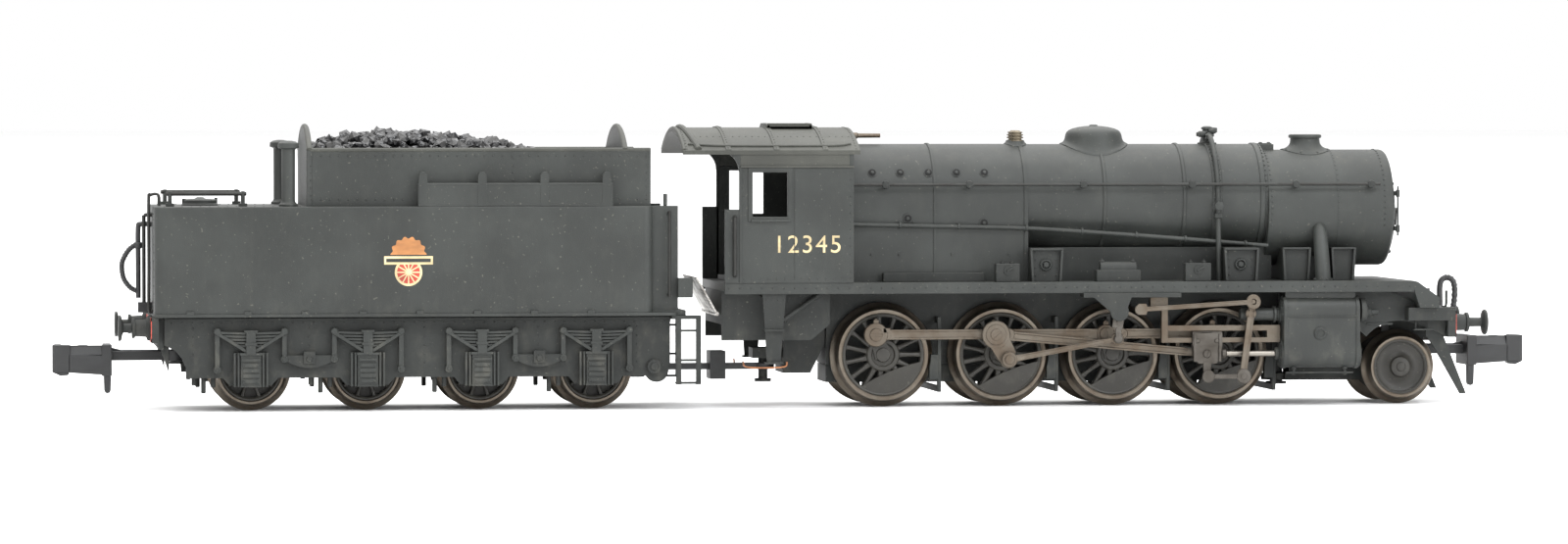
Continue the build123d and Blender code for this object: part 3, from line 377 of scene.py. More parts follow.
class Finish:
    """One procedural material; patterns are in millimetres of the object's own coordinates."""

    def __init__(self, name):
        self.material = bpy.data.materials.new(name)
        self.material.use_nodes = True
        self.tree = self.material.node_tree
        self.shader = self.tree.nodes["Principled BSDF"]
        where = self.tree.nodes.new("ShaderNodeTexCoord")
        self.where = Link(self.tree, where.outputs["Object"])

    def node(self, kind, settings=None, output=0, **inputs):
        made = self.tree.nodes.new(kind)
        for key, value in (settings or {}).items():
            setattr(made, key, value)
        for key, value in inputs.items():
            slot = made.inputs[int(key[1:])] if key[0] == "i" and key[1:].isdigit() else made.inputs[key]
            if isinstance(value, Link):
                self.tree.links.new(value.socket, slot)
            else:
                slot.default_value = value
        return Link(self.tree, made.outputs[output])

    def noise(self, per_mm, detail=3.0, stretch=(1, 1, 1), shift=0.0, roughness=0.55):
        scale = tuple(per_mm * s / MM for s in stretch)
        where = self.node("ShaderNodeMapping", Vector=self.where, Scale=scale, Location=(shift, shift, shift))
        return self.node("ShaderNodeTexNoise", Vector=where, Scale=1.0, Detail=detail, Roughness=roughness)

    def band(self, value, low, high):
        """0 below low, 1 above high, eased between."""
        settings = {"interpolation_type": "SMOOTHSTEP"}
        return self.node("ShaderNodeMapRange", settings, i0=value, i1=low, i2=high, i3=0.0, i4=1.0)

    def axis(self, letter):
        return self.node("ShaderNodeSeparateXYZ", None, "XYZ".index(letter), Vector=self.where) * (1 / MM)

    def mix(self, factor, a, b):
        a = (*a, 1) if isinstance(a, tuple) else a
        b = (*b, 1) if isinstance(b, tuple) else b
        return self.node("ShaderNodeMix", {"data_type": "RGBA"}, 2, i0=factor, i6=a, i7=b)

    def bump(self, height, depth_mm, strength=0.5, over=None):
        inputs = {"Height": height, "Distance": depth_mm * MM, "Strength": strength}
        if over is not None:
            inputs["Normal"] = over
        return self.node("ShaderNodeBump", None, 0, **inputs)

    def set(self, **sockets):
        for key, value in sockets.items():
            slot = self.shader.inputs[key.replace("_", " ")]
            if isinstance(value, Link):
                self.tree.links.new(value.socket, slot)
            else:
                slot.default_value = (*value, 1) if isinstance(value, tuple) else value
        return self


def painted(name, colour, dust, amount=0.5, rough=0.5, low=9.0, streaks=0.2, grain=0.02):
    """Matt paint: faint clouds, rain streaks, dust that thickens low down, faces turned upwards mixed lighter towards
    the dust tone, fine specks.
    """
    f = Finish(name)
    dark = tuple(0.84 * c for c in colour)
    light = tuple(min(1.0, 1.16 * c) for c in colour)
    cloud = f.noise(0.13, 4.0)
    tone = f.mix(f.band(cloud, 0.36, 0.66), dark, light)
    streak = f.band(f.noise(0.9, 3.0, (1, 1, 0.06), 3.0), 0.55, 0.8) * (0.25 * streaks)
    tone = f.mix(streak, tone, dust)
    height = f.axis("Z")
    floor = 1 - f.band(height, low - 6.0, low + 4.0)
    spots = f.band(f.noise(0.8, 5.0, (1, 1, 0.6), 7.0), 0.48, 0.75)
    # Faces turned upwards are mixed further towards the dust tone, so they come out lighter than the sides.
    facing = f.node("ShaderNodeNewGeometry", None, 1)
    upward = f.band(f.node("ShaderNodeSeparateXYZ", None, 2, Vector=facing), 0.35, 1.0)
    dust_and_upward_tone = ((floor * 0.5 + 0.1) * spots + upward * (0.1 + 0.22 * spots)) * amount
    tone = f.mix(dust_and_upward_tone, tone, dust)
    speck = f.band(f.noise(3.6, 1.0, shift=11.0), 0.71, 0.76) * 0.5
    tone = f.mix(speck, tone, dust)
    fine = f.noise(9.0, 3.0, shift=5.0)
    f.set(Base_Color=tone, Roughness=rough + dust_and_upward_tone * 0.3 + (fine - 0.5) * 0.2, Metallic=0.0)
    normal = f.bump(fine, grain, 0.5)
    f.set(Normal=f.bump(cloud, 0.05, 0.3, normal), Specular_IOR_Level=0.3)
    return f.material


def metal(name, colour, stain, rough=0.34, amount=0.6, lines=(1, 1, 1)):
    """Plated metal: brownish stain in clouds, fine drawn lines, darker grime in patches."""
    f = Finish(name)
    cloud = f.band(f.noise(0.55, 5.0, shift=2.0), 0.36, 0.7)
    tone = f.mix(cloud * amount, colour, stain)
    drawn = f.noise(7.0, 3.0, lines, 4.0)
    grime = f.band(f.noise(1.6, 4.0, shift=9.0), 0.58, 0.78)
    tone = f.mix(grime * 0.6, tone, tuple(0.35 * c for c in stain))
    f.set(Base_Color=tone, Metallic=0.92 - grime * 0.5, Roughness=rough + drawn * 0.16 + grime * 0.25)
    f.set(Normal=f.bump(drawn, 0.012, 0.5))
    return f.material


def plastic(name, colour, rough=0.4, grain=0.015):
    """Moulded plastic: faint flow marks and a fine grain."""
    f = Finish(name)
    flow = f.noise(0.8, 3.0, (0.4, 1, 1))
    fine = f.noise(10.0, 2.0, shift=6.0)
    tone = f.mix(f.band(flow, 0.35, 0.7), tuple(0.75 * c for c in colour), tuple(1.35 * c for c in colour))
    f.set(Base_Color=tone, Roughness=rough + (fine - 0.5) * 0.25, Normal=f.bump(fine, grain, 0.45))
    return f.material


def coal_finish():
    """Coal: near black with glossy facets, dull dusty patches and a broken surface."""
    f = Finish("coal_lumps")
    chip = f.node("ShaderNodeTexVoronoi", None, 0, Vector=f.where, Scale=2.2 / MM)
    patch = f.band(f.noise(1.4, 4.0), 0.45, 0.62)
    tone = f.mix(patch, (0.006, 0.006, 0.007), (0.026, 0.025, 0.024))
    f.set(Base_Color=tone, Roughness=0.2 + patch * 0.4, Specular_IOR_Level=0.5)
    f.set(Normal=f.bump(chip, 0.12, 0.5))
    return f.material


def tread_finish(name, colour, stain):
    """Bright plate with raised diamond treads: two crossed sine waves in X and Y."""
    f = Finish(name)
    a = f.axis("Y") * 9.0 + f.axis("Z") * 9.0
    b = f.axis("Y") * 9.0 - f.axis("Z") * 9.0
    waves = a._math("SINE", a) * b._math("SINE", b)
    stainy = f.band(f.noise(0.8, 4.0), 0.4, 0.7)
    f.set(Base_Color=f.mix(stainy * 0.6, colour, stain), Metallic=0.8, Roughness=0.35 + stainy * 0.25)
    f.set(Normal=f.bump(waves, 0.06, 0.7))
    return f.material


FINISHES = {}


def make_finishes(look):
    body, dust = tuple(look.body), tuple(look.dust)
    nickel, stain = tuple(look.nickel), tuple(look.stain)
    FINISHES.update(
        body=painted("black_paint", body, dust, 0.5, 0.5),
        smoke=painted("smokebox_black", tuple(1.04 * c for c in body), dust, 0.5, 0.56, streaks=0.3),
        roof=painted("roof_grey", tuple(look.roof), dust, 0.55, 0.55),
        frame=painted("frame_black", tuple(0.72 * c for c in body), dust, 0.5, 0.6, 8.0),
        springs=painted("spring_steel_black", tuple(0.95 * c for c in body), dust, 0.7, 0.5, 8.0),
        # Near black; used only as painted shade in the recesses round the washout plugs.
        soot=painted("cab_soot", (0.008, 0.008, 0.008), dust, 0.05, 0.8),
        centre=painted("wheel_centre_black", (0.026, 0.0245, 0.021), dust, 0.5, 0.42, 4.0),
        cylinder=painted("cylinder_black", tuple(0.8 * c for c in body), dust, 0.4, 0.45),
        tyre=metal("tyre_nickel", nickel, stain, 0.3),
        motion=metal("motion_nickel", tuple(0.85 * c for c in nickel), stain, 0.38, 0.8, (0.1, 1, 1)),
        bright=metal("bright_plating", (0.27, 0.25, 0.22), stain, 0.28, 0.35),
        cast=metal("cast_metal", (0.1, 0.092, 0.082), (0.05, 0.044, 0.037), 0.45, 0.8),
        wire=metal("painted_wire", (0.045, 0.046, 0.044), (0.03, 0.028, 0.026), 0.5),
        brass=metal("dull_brass", (0.17, 0.145, 0.105), (0.07, 0.055, 0.04), 0.45),
        copper=metal("copper_strip", (0.45, 0.2, 0.1), (0.16, 0.07, 0.04), 0.35),
        coupler=plastic("coupler_plastic", (0.009, 0.0095, 0.01), 0.5),
        red=plastic("beam_red", (0.33, 0.035, 0.02), 0.5),
        cream=plastic("cream_transfer", (0.5, 0.4, 0.22), 0.5, 0.004),
        orange=plastic("orange_transfer", (0.36, 0.15, 0.045), 0.5, 0.004),
        hose=plastic("hose_rubber", (0.02, 0.02, 0.021), 0.6),
        coal=coal_finish(),
        tread=tread_finish("tread_plate", (0.5, 0.48, 0.45), stain),
    )
    return FINISHES


# ------------------------------------------------------------------ wheels
TREAD_INNER, TREAD_OUTER = 3.75, 5.65   # back of the flange and face of the tyre, from the centre line
FLANGE = 0.55


def tyre_ring(radius, bore):
    """Tyre as one closed ring: coned tread, filleted flange, bevelled face."""
    f, b, t = TREAD_OUTER, TREAD_INNER, FLANGE
    profile = [(bore, b), (radius + 0.25 * t, b), (radius + 0.8 * t, b + 0.08), (radius + t, b + 0.2)]
    profile += [(radius + 0.92 * t, b + 0.34), (radius + 0.5 * t, b + 0.48), (radius + 0.12, b + 0.62)]
    profile += [(radius, b + 0.8), (radius - 0.05, f - 0.1), (radius - 0.12, f), (bore + 0.1, f), (bore, f - 0.08), (bore, b)]
    return lathe(profile, axis="y", steps=96)


def spoke_ring(count, inner, outer, width, y0, y1):
    """Spokes as tapered lofts: an eight-point rounded section that narrows to mid length and swells
    at the hub and the rim, turned to each angle at once."""
    s = np.array([0, 0.12, 0.35, 0.65, 0.88, 1.0])
    swell = np.array([1.6, 1.15, 0.95, 0.85, 1.0, 1.5])
    t = circle(10, np.pi / 10)
    mid, half = (y0 + y1) / 2, (y1 - y0) / 2
    across = np.sign(np.cos(t)) * np.abs(np.cos(t)) ** 0.7 * width / 2
    deep = np.sign(np.sin(t)) * np.abs(np.sin(t)) ** 0.7 * half
    shapes = []
    for angle in circle(count):
        r = inner + (outer - inner) * s
        x = np.cos(angle) * r[:, None] - np.sin(angle) * across * swell[:, None]
        z = np.sin(angle) * r[:, None] + np.cos(angle) * across * swell[:, None]
        y = np.broadcast_to(mid + deep, x.shape)
        shapes.append(grid(np.stack([x, y, z], axis=-1), around=True, caps=True))
    return join(*shapes)


def balance_weight(radius, sag, spread, y0, y1):
    """Crescent between the rim and a chord-like arc, pointing along +X, with rounded lips."""
    a = np.linspace(-spread, spread, 28)
    outer = np.stack([radius * np.cos(a), radius * np.sin(a)], axis=-1)
    chord = radius * np.cos(spread) - sag * np.cos(a / spread * np.pi / 2)
    inner = np.stack([chord, np.tan(spread) * radius * np.cos(spread) * a / spread], axis=-1)[::-1]
    return plate(np.concatenate([outer, inner]), y0, y1)


def turned(shape, degrees):
    """Turned about the Y axis, from +X towards +Z."""
    points, faces = shape
    c, s = math.cos(math.radians(degrees)), math.sin(math.radians(degrees))
    x, y, z = points.T
    return np.stack([c * x - s * z, y, s * x + c * z], axis=-1), faces


def crank_angle(side):
    """Crank angle at rest in degrees, from the frame's joints."""
    crank = pivot(f"coupling_rod_{SIDE_NAMES[side]}_turn") - pivot("driver_3_spin")
    return math.degrees(math.atan2(crank[2], crank[0])), math.hypot(crank[0], crank[2])


def return_crank(side):
    """Pin of the return crank relative to the axle."""
    offset = pivot(f"eccentric_rod_{SIDE_NAMES[side]}_turn") - pivot("driver_3_spin")
    return offset[[0, 2]]


class WheelSettings(bpy.types.PropertyGroup):
    spokes: bpy.props.IntProperty(name="Driver spokes", description="Spokes in a driving wheel", default=15, min=6)
    spoke_width: bpy.props.FloatProperty(
        name="Spoke width", description="Mid-length width of a driver spoke, in mm", default=0.52, min=0.1
    )
    tender_spokes: bpy.props.IntProperty(name="Tender spokes", description="Spokes in a tender wheel", default=10)


def driver_pieces(number, settings):
    centre = pivot(f"driver_{number}_spin")
    centre[1] = 0
    radius = centre[2] - FLANGE
    rim = radius - 0.5
    body = f"driver_{number}"
    geared = number == 3
    tyres, middles, pins = [], [], []
    for side in (NEAR, FAR):
        angle, throw = crank_angle(side)
        px, pz = throw * math.cos(math.radians(angle)), throw * math.sin(math.radians(angle))
        ring = lathe([(rim - 0.32, 4.2), (rim + 0.02, 4.2), (rim + 0.02, 5.5), (rim - 0.12, 5.56), (rim - 0.32, 5.46), (rim - 0.32, 4.2)], axis="y", steps=96)
        hub = lathe([(0, 3.95), (1.6, 3.95), (1.6, 5.4), (1.48, 5.54), (1.16, 5.54), (1.06, 5.3), (0.72, 5.3), (0.66, 5.62), (0, 5.68)], axis="y", steps=40)
        spokes = spoke_ring(settings.spokes, 1.4, rim - 0.2, settings.spoke_width, 4.35, 5.32)
        weight = turned(balance_weight(rim - 0.1, 0.3, 1.02, 4.3, 5.5), angle + 180)
        boss = eye((px, pz), 4.3, 5.78, 0.82, steps=36)
        web = plate([(-0.2, -0.85), (throw, -0.62), (throw, 0.62), (-0.2, 0.85)], 4.3, 5.5)
        middles.append(sided(join(ring, hub, spokes, weight, boss, turned(web, angle)), side))
        tyres.append(sided(tyre_ring(radius, rim), side))
        if geared:
            qx, qz = return_crank(side)
            arm = fluted_rod((px, pz), (qx, qz), 7.2, 7.6, np.linspace(2.5, 1.45, 10), 0.0, 0.2)
            parts = [eye((px, pz), 5.7, 7.25, 0.42), arm, eye((px, pz), 7.18, 7.62, 1.36, steps=48), eye((qx, qz), 7.18, 7.62, 0.84)]
            parts.append(eye((px, pz), 7.6, 7.7, 0.98, steps=40))
            parts += [eye((qx, qz), 7.5, 8.32, 0.26), eye((qx, qz), 8.28, 8.42, 0.46)]
            parts.append(slot_screw((px, pz), 7.66, 7.8, 0.56, 40))
        else:
            parts = [eye((px, pz), 5.7, 6.34, 0.42), slot_screw((px, pz), 6.31, 6.5, 0.62, 15 + 40 * number)]
        pins.append(sided(join(*parts), side))
    pins.append(lathe([(0, -4.2), (0.74, -4.2), (0.74, 4.2), (0, 4.2)], axis="y", steps=32))
    put(f"{body}_tyres", moved(join(*tyres), centre), body, FINISHES["tyre"], (body,))
    put(f"{body}_centres", moved(join(*middles), centre), body, FINISHES["centre"], bevel=0.04)
    put(f"{body}_pins", moved(join(*pins), centre), body, FINISHES["motion"], bevel=0.03)
    if geared:
        teeth = circle(24 * 4)
        ring = 2.2 + 0.2 * np.clip(np.sin(24 * teeth) * 2, -1, 1)
        rows = [(-0.9, 0.0), (-0.9, 1.0), (0.9, 1.0), (0.9, 0.0)]
        points = np.stack([np.stack([ring * k * np.cos(teeth), np.full_like(teeth, y), ring * k * np.sin(teeth)], -1) for y, k in rows])
        put("axle_gear", moved(grid(points, around=True), centre), body, FINISHES["brass"])


def slot_screw(centre, y0, y1, radius, degrees):
    """Cheese head with a screwdriver slot: two half discs set a slot's width apart on a thin disc."""
    step = 0.55 * (y1 - y0)
    disc = eye((0, 0), y0, y0 + step, radius, steps=30)
    half = np.linspace(0.22, np.pi - 0.22, 14)
    edge = np.stack([0.97 * radius * np.cos(half), 0.97 * radius * np.sin(half)], axis=-1)
    top = plate(edge, y0 + 0.5 * step, y1)
    low = plate(edge * (1, -1), y0 + 0.5 * step, y1)
    return moved(turned(join(disc, top, low), degrees), (centre[0], 0, centre[1]))


def carrying_pieces(body, joint, spokes):
    """Pony and tender wheelsets; spokes 0 gives the pony's domed disc."""
    centre = pivot(joint)
    centre[1] = 0
    radius = centre[2] - FLANGE
    rim = radius - 0.42
    tyre = tyre_ring(radius, rim)
    middle = [lathe([(rim - 0.3, 4.1), (rim + 0.02, 4.1), (rim + 0.02, 5.52), (rim - 0.15, 5.52), (rim - 0.3, 5.4), (rim - 0.3, 4.1)], axis="y", steps=72)]
    if spokes:
        middle.append(lathe([(0, 3.95), (0.9, 3.95), (0.9, 5.35), (0.75, 5.5), (0.3, 5.62), (0, 5.66)], axis="y"))
        middle.append(spoke_ring(spokes, 0.8, rim - 0.2, 0.4, 4.35, 5.2))
        middle.append(lathe([(0, 4.12), (rim - 0.2, 4.12), (rim - 0.2, 4.4), (0, 4.4)], axis="y", steps=48))
    else:
        curve = [(rim - 0.15, 4.3), (rim - 0.15, 5.3), (rim - 0.55, 5.08), (1.75, 5.02), (1.3, 5.14), (1.02, 5.34)]
        curve += [(0.95, 5.6), (0.82, 5.68), (0.45, 5.68), (0.4, 5.76), (0.3, 5.8), (0, 5.8)]
        middle.append(lathe([(0, 4.1), (rim - 0.15, 4.3)] + curve, axis="y", steps=72))
    axle = lathe([(0, -4.2), (0.5, -4.2), (0.5, 4.2), (0, 4.2)], axis="y", steps=24)
    put(f"{body}_tyres", moved(both(tyre), centre), body, FINISHES["tyre"], (body,))
    put(f"{body}_centres", moved(both(join(*middle)), centre), body, FINISHES["centre"], bevel=0.03)
    put(f"{body}_axle", moved(axle, centre), body, FINISHES["motion"])


# ------------------------------------------------------------------ rods and valve motion
CYLINDER_Z = 5.05


def rod_body(name, side):
    return f"{name}_{SIDE_NAMES[side]}"


def motion_piece(name, side, shapes, finish="motion", bevel=0.035):
    body = rod_body(name, side)
    put(f"{body}_forged", sided(join(*shapes), side), body, FINISHES[finish], (body,), bevel)


def coupling_rod_piece(side):
    angle, throw = crank_angle(side)
    shift = (throw * math.cos(math.radians(angle)), throw * math.sin(math.radians(angle)))
    pins = [pivot(f"driver_{n}_spin")[[0, 2]] + shift for n in (4, 3, 2, 1)]
    shapes = []
    for a, b in zip(pins, pins[1:]):
        shapes.append(fluted_rod(a + (0.5, 0), b - (0.5, 0), 5.87, 6.24, 0.94, 0.05, 1.0))
    for (x, z), radius in zip(pins, (1.16, 1.0, 0.92, 0.92)):
        shapes += [eye((x, z), 5.85, 6.3, radius, 0.48, 40), slab((x + 0.7, 5.9, z + 0.2), (x + 1.35, 6.3, z + 0.62))]
        shapes += [slab((x - 0.24, 5.9, z + 0.7), (x + 0.24, 6.25, z + radius + 0.25)), eye((x, z + radius + 0.25), 5.97, 6.18, 0.17, steps=14)]
    for x, z in pins[1:3]:
        shapes.append(eye((x + 1.6, z), 5.86, 6.3, 0.56, steps=24))
        shapes.append(slot_screw((x + 1.6, z), 6.28, 6.36, 0.27, 30))
    motion_piece("coupling_rod", side, shapes)


def connecting_rod_piece(side):
    big = pivot(f"connecting_rod_{SIDE_NAMES[side]}_turn")[[0, 2]]
    _, high = box(rod_body("connecting_rod", side))
    small = np.array([high[0] - 0.65, CYLINDER_Z])
    taper = np.linspace(0.95, 0.68, 10)
    shapes = [fluted_rod(big, small, 6.67, 7.06, taper, 0.12, 1.7)]
    shapes += [eye(big, 6.65, 7.1, 1.05, 0.5), eye(small, 6.65, 7.1, 0.65, 0.3)]
    shapes += [eye(big + (1.3, 0), 6.66, 7.1, 0.62), slot_screw(big + (1.3, 0), 7.08, 7.15, 0.26, 20)]
    motion_piece("connecting_rod", side, shapes)


def link_foot(side):
    """Front pin of the eccentric rod, where the expansion link's foot hangs."""
    _, high = box(rod_body("eccentric_rod", side))
    return np.array([high[0] - 0.45, high[2] - 0.45])


def eccentric_rod_piece(side):
    rear = pivot(f"eccentric_rod_{SIDE_NAMES[side]}_turn")[[0, 2]]
    front = link_foot(side)
    height = np.interp(np.linspace(0, 1, 10), [0, 1], [0.62, 0.44])
    shapes = [fluted_rod(rear, front, 7.87, 8.22, height, 0.06, 1.2)]
    shapes += [eye(rear, 7.85, 8.25, 0.76, 0.33), eye(front, 7.85, 8.25, 0.62, 0.2), eye(front, 8.18, 8.32, 0.34, steps=20)]
    motion_piece("eccentric_rod", side, shapes)


def crosshead_piece(side):
    """Crosshead block with slippers round the lower bar, piston rod, drop arm and union link."""
    _, high = box(rod_body("crosshead", side))
    x, z = high[0] - 10.0, CYLINDER_Z
    outline = [(x - 1.35, z + 0.9), (x - 1.2, z - 0.55), (x - 0.75, z - 0.95), (x + 0.9, z - 0.95), (x + 1.35, z - 0.5), (x + 1.5, z + 0.9)]
    block = plate(outline, 7.3, 8.3)
    cheek = plate([(x - 1.4, z + 0.75), (x + 1.5, z + 0.75), (x + 1.5, z + 2.0), (x - 1.4, z + 2.0)], 8.08, 8.35)
    slipper = slab((x - 1.4, 7.45, 6.68), (x + 1.5, 8.2, 7.16))
    arm = plate([(x - 0.35, z - 0.8), (x - 0.3, z - 2.2), (x, z - 2.5), (x + 0.3, z - 2.2), (x + 0.45, z - 0.8)], 8.0, 8.35)
    piston = rod((x + 1.3, 7.75, z), (x + 10.0, 7.75, z), 0.28)
    gland = rod((x + 1.45, 7.75, z), (x + 2.0, 7.75, z), 0.5)
    pin = eye((x, z), 7.2, 8.42, 0.42, steps=28)
    cap = slot_screw((x, z), 8.38, 8.52, 0.34, 70)
    foot = x + 3.45
    union = fluted_rod((x, z - 2.15), (foot, z - 2.15), 8.97, 9.22, 0.42, 0.04, 0.5)
    low = z - 2.15
    ends = join(eye((x, low), 8.95, 9.25, 0.62), eye((foot, low), 8.95, 9.25, 0.72, 0.25), eye((x, low), 8.3, 9.0, 0.24))
    web = [slab((x + a, 8.25, z - 0.75), (x + a + 0.22, 8.5, z + 1.9)) for a in (-1.3, 1.15)]
    oil = [slab((x - 0.5, 7.6, z + 2.0), (x + 0.5, 8.2, z + 2.14)), eye((x + 0.95, z + 1.25), 8.3, 8.46, 0.22, steps=14), eye((x - 0.9, z + 1.25), 8.3, 8.46, 0.22, steps=14)]
    shapes = [block, cheek, slipper, arm, gland, pin, cap, union, ends, eye((foot, low), 9.1, 9.3, 0.34, steps=20), *web, *oil]
    motion_piece("crosshead", side, shapes, "cast")
    put(f"piston_rod_{SIDE_NAMES[side]}", sided(piston, side), rod_body("crosshead", side), FINISHES["bright"])


def lever_ends(side):
    """Foot and head of the combination lever, from the joints that hold it and the radius rod."""
    hold = pivot(f"combination_lever_{SIDE_NAMES[side]}_swing")[[0, 2]]
    head = pivot(f"radius_rod_{SIDE_NAMES[side]}_swing")[[0, 2]]
    direction = (head - hold) / np.linalg.norm(head - hold)
    return hold - direction * 5.9, hold, head


def combination_lever_piece(side):
    foot, hold, head = lever_ends(side)
    shapes = [fluted_rod(foot, head, 8.5, 8.8, 0.66, 0.02, 0.6), eye(foot, 8.5, 8.8, 0.6), eye(head, 8.5, 8.8, 0.55)]
    shapes += [eye(hold, 8.5, 8.8, 0.54, 0.3), eye(head, 8.75, 9.3, 0.22), eye(foot, 8.75, 8.86, 0.3)]
    motion_piece("combination_lever", side, shapes)


def radius_rod_piece(side):
    _, _, head = lever_ends(side)
    low, _ = box(rod_body("radius_rod", side))
    rear = np.array([low[0] + 0.5, 9.35])
    shapes = [fluted_rod(rear, head, 8.97, 9.23, 0.44, 0.04, 0.7), eye(rear, 8.95, 9.25, 0.52, 0.2), eye(head, 8.95, 9.25, 0.72, 0.28)]
    shapes.append(plate([(rear[0] - 0.2, 8.85), (rear[0] + 0.6, 8.85), (rear[0] + 0.75, 9.4), (rear[0] + 0.6, 9.9), (rear[0] - 0.2, 9.9)], 8.96, 9.24))
    motion_piece("radius_rod", side, shapes)


def expansion_link_piece(side):
    """Curved slotted link: a plate between two arcs about a far centre, with a slot of the same curve."""
    hold = pivot(f"expansion_link_{SIDE_NAMES[side]}_swing")[[0, 2]]
    foot = link_foot(side)
    drop = float(np.linalg.norm(foot - hold))
    tilt = math.degrees(math.atan2(foot[0] - hold[0], hold[1] - foot[1]))
    t = np.linspace(-0.19, 0.11, 16)
    radius = 9.0
    outer = np.stack([radius * np.cos(t) - radius + 0.52, radius * np.sin(t)], -1)
    inner = np.stack([(radius - 1.04) * np.cos(t) - radius + 0.52, (radius - 1.04) * np.sin(t)], -1)[::-1]
    cheeks = [plate(np.concatenate([outer, inner]), 8.5, 8.8)]
    slot = plate(np.concatenate([outer - (0.4, 0), inner + (0.4, 0)])[2:-2], 8.78, 8.86)
    tail = fluted_rod((-0.05, -1.6), (0, -drop), 8.52, 8.78, 0.55, 0.0, 0.2)
    parts = join(*cheeks, tail, slot, eye((0, -drop), 8.5, 8.8, 0.42), eye((0, 0), 8.5, 8.84, 0.5, 0.32))
    shape = moved(turned(parts, tilt), (hold[0], 0, hold[1]))
    motion_piece("expansion_link", side, [shape], "cast")


# ------------------------------------------------------------------ boiler, smokebox and mountings
BOILER_Z, BOILER_R = 19.85, 5.3
SMOKE_Z, SMOKE_R = 18.95, 5.62
FIREBOX_END, BARREL_END, SMOKE_END = 21.7, 45.3, 57.5
FOOT_TOP = 12.0


def wrapper_outline(offset, low=FOOT_TOP):
    """Firebox section in Y and Z: straight sides joined over the top by a half circle."""
    r = BOILER_R + offset
    over = arc((0, BOILER_Z), r, 0, 180, 49)
    sides = np.linspace(low, BOILER_Z, 5)[:-1]
    right = np.stack([np.full(4, r), sides], axis=-1)
    left = np.stack([np.full(4, -r), sides[::-1]], axis=-1)
    return np.concatenate([right, over, left])


def barrel_point(x, degrees, offset=0.0, smoke=False):
    """Point and outward normal on barrel or smokebox; 0 degrees is the far side, 90 the top."""
    x = np.asarray(x, float)
    a = np.radians(np.broadcast_to(np.asarray(degrees, float), x.shape))
    r, z = (SMOKE_R, SMOKE_Z) if smoke else (BOILER_R, BOILER_Z)
    normal = np.stack([np.zeros_like(x), np.cos(a), np.sin(a)], axis=-1)
    return np.stack([x, np.zeros_like(x), np.full_like(x, z)], axis=-1) + normal * (r + offset), normal


def hoop(x0, x1, radius, z, height=0.09, steps=96):
    """Band round a barrel: a low ring with bevelled edges."""
    e = min(0.07, 0.3 * (x1 - x0))
    profile = [(radius - 0.1, x0), (radius + height * 0.5, x0), (radius + height, x0 + e), (radius + height, x1 - e)]
    profile += [(radius + height * 0.5, x1), (radius - 0.1, x1), (radius - 0.1, x0)]
    return lathe(profile, (0, 0, z), "x", steps)


def saddled(profile, x, barrel_z, barrel_r, steps=72):
    """Revolution about a vertical line whose foot lies on a barrel: heights are those on the crown,
    and each ring drops to the side by its share of the barrel's own fall at that Y."""
    r, h, share = np.array(profile, float).T
    t = circle(steps)
    px, py = r[:, None] * np.cos(t), r[:, None] * np.sin(t)
    fall = np.sqrt(np.maximum(barrel_r**2 - py**2, 0.1)) - barrel_r
    return grid(np.stack([x + px, py, h[:, None] + share[:, None] * fall], axis=-1), around=True)


def stem(base, normal, levels, sides=16):
    """Turned stem standing on a surface; levels are radius and height pairs along the normal."""
    base, normal = np.asarray(base, float), np.asarray(normal, float)
    path = [base + normal * h for _, h in levels]
    tangent = normal / np.linalg.norm(normal)
    u = np.cross(tangent, [1.0, 0, 0] if abs(tangent[0]) < 0.8 else [0, 1.0, 0])
    u /= np.linalg.norm(u)
    v = np.cross(tangent, u)
    t = circle(sides)
    ring = np.cos(t)[:, None] * u + np.sin(t)[:, None] * v
    points = np.array([p + ring * r for p, (r, _) in zip(path, levels)])
    return grid(points, around=True, caps=True)


def on_barrel(x, degrees, levels, smoke=False, sides=16):
    point, normal = barrel_point(x, degrees, 0.0, smoke)
    return stem(point, normal, levels, sides)


class BoilerSettings(bpy.types.PropertyGroup):
    band_height: bpy.props.FloatProperty(
        name="Band height", description="How far the boiler bands stand out, in mm", default=0.1, min=0.02
    )
    rivet_pitch: bpy.props.FloatProperty(
        name="Rivet pitch", description="Distance between rivets in a row, in mm", default=0.55, min=0.2
    )


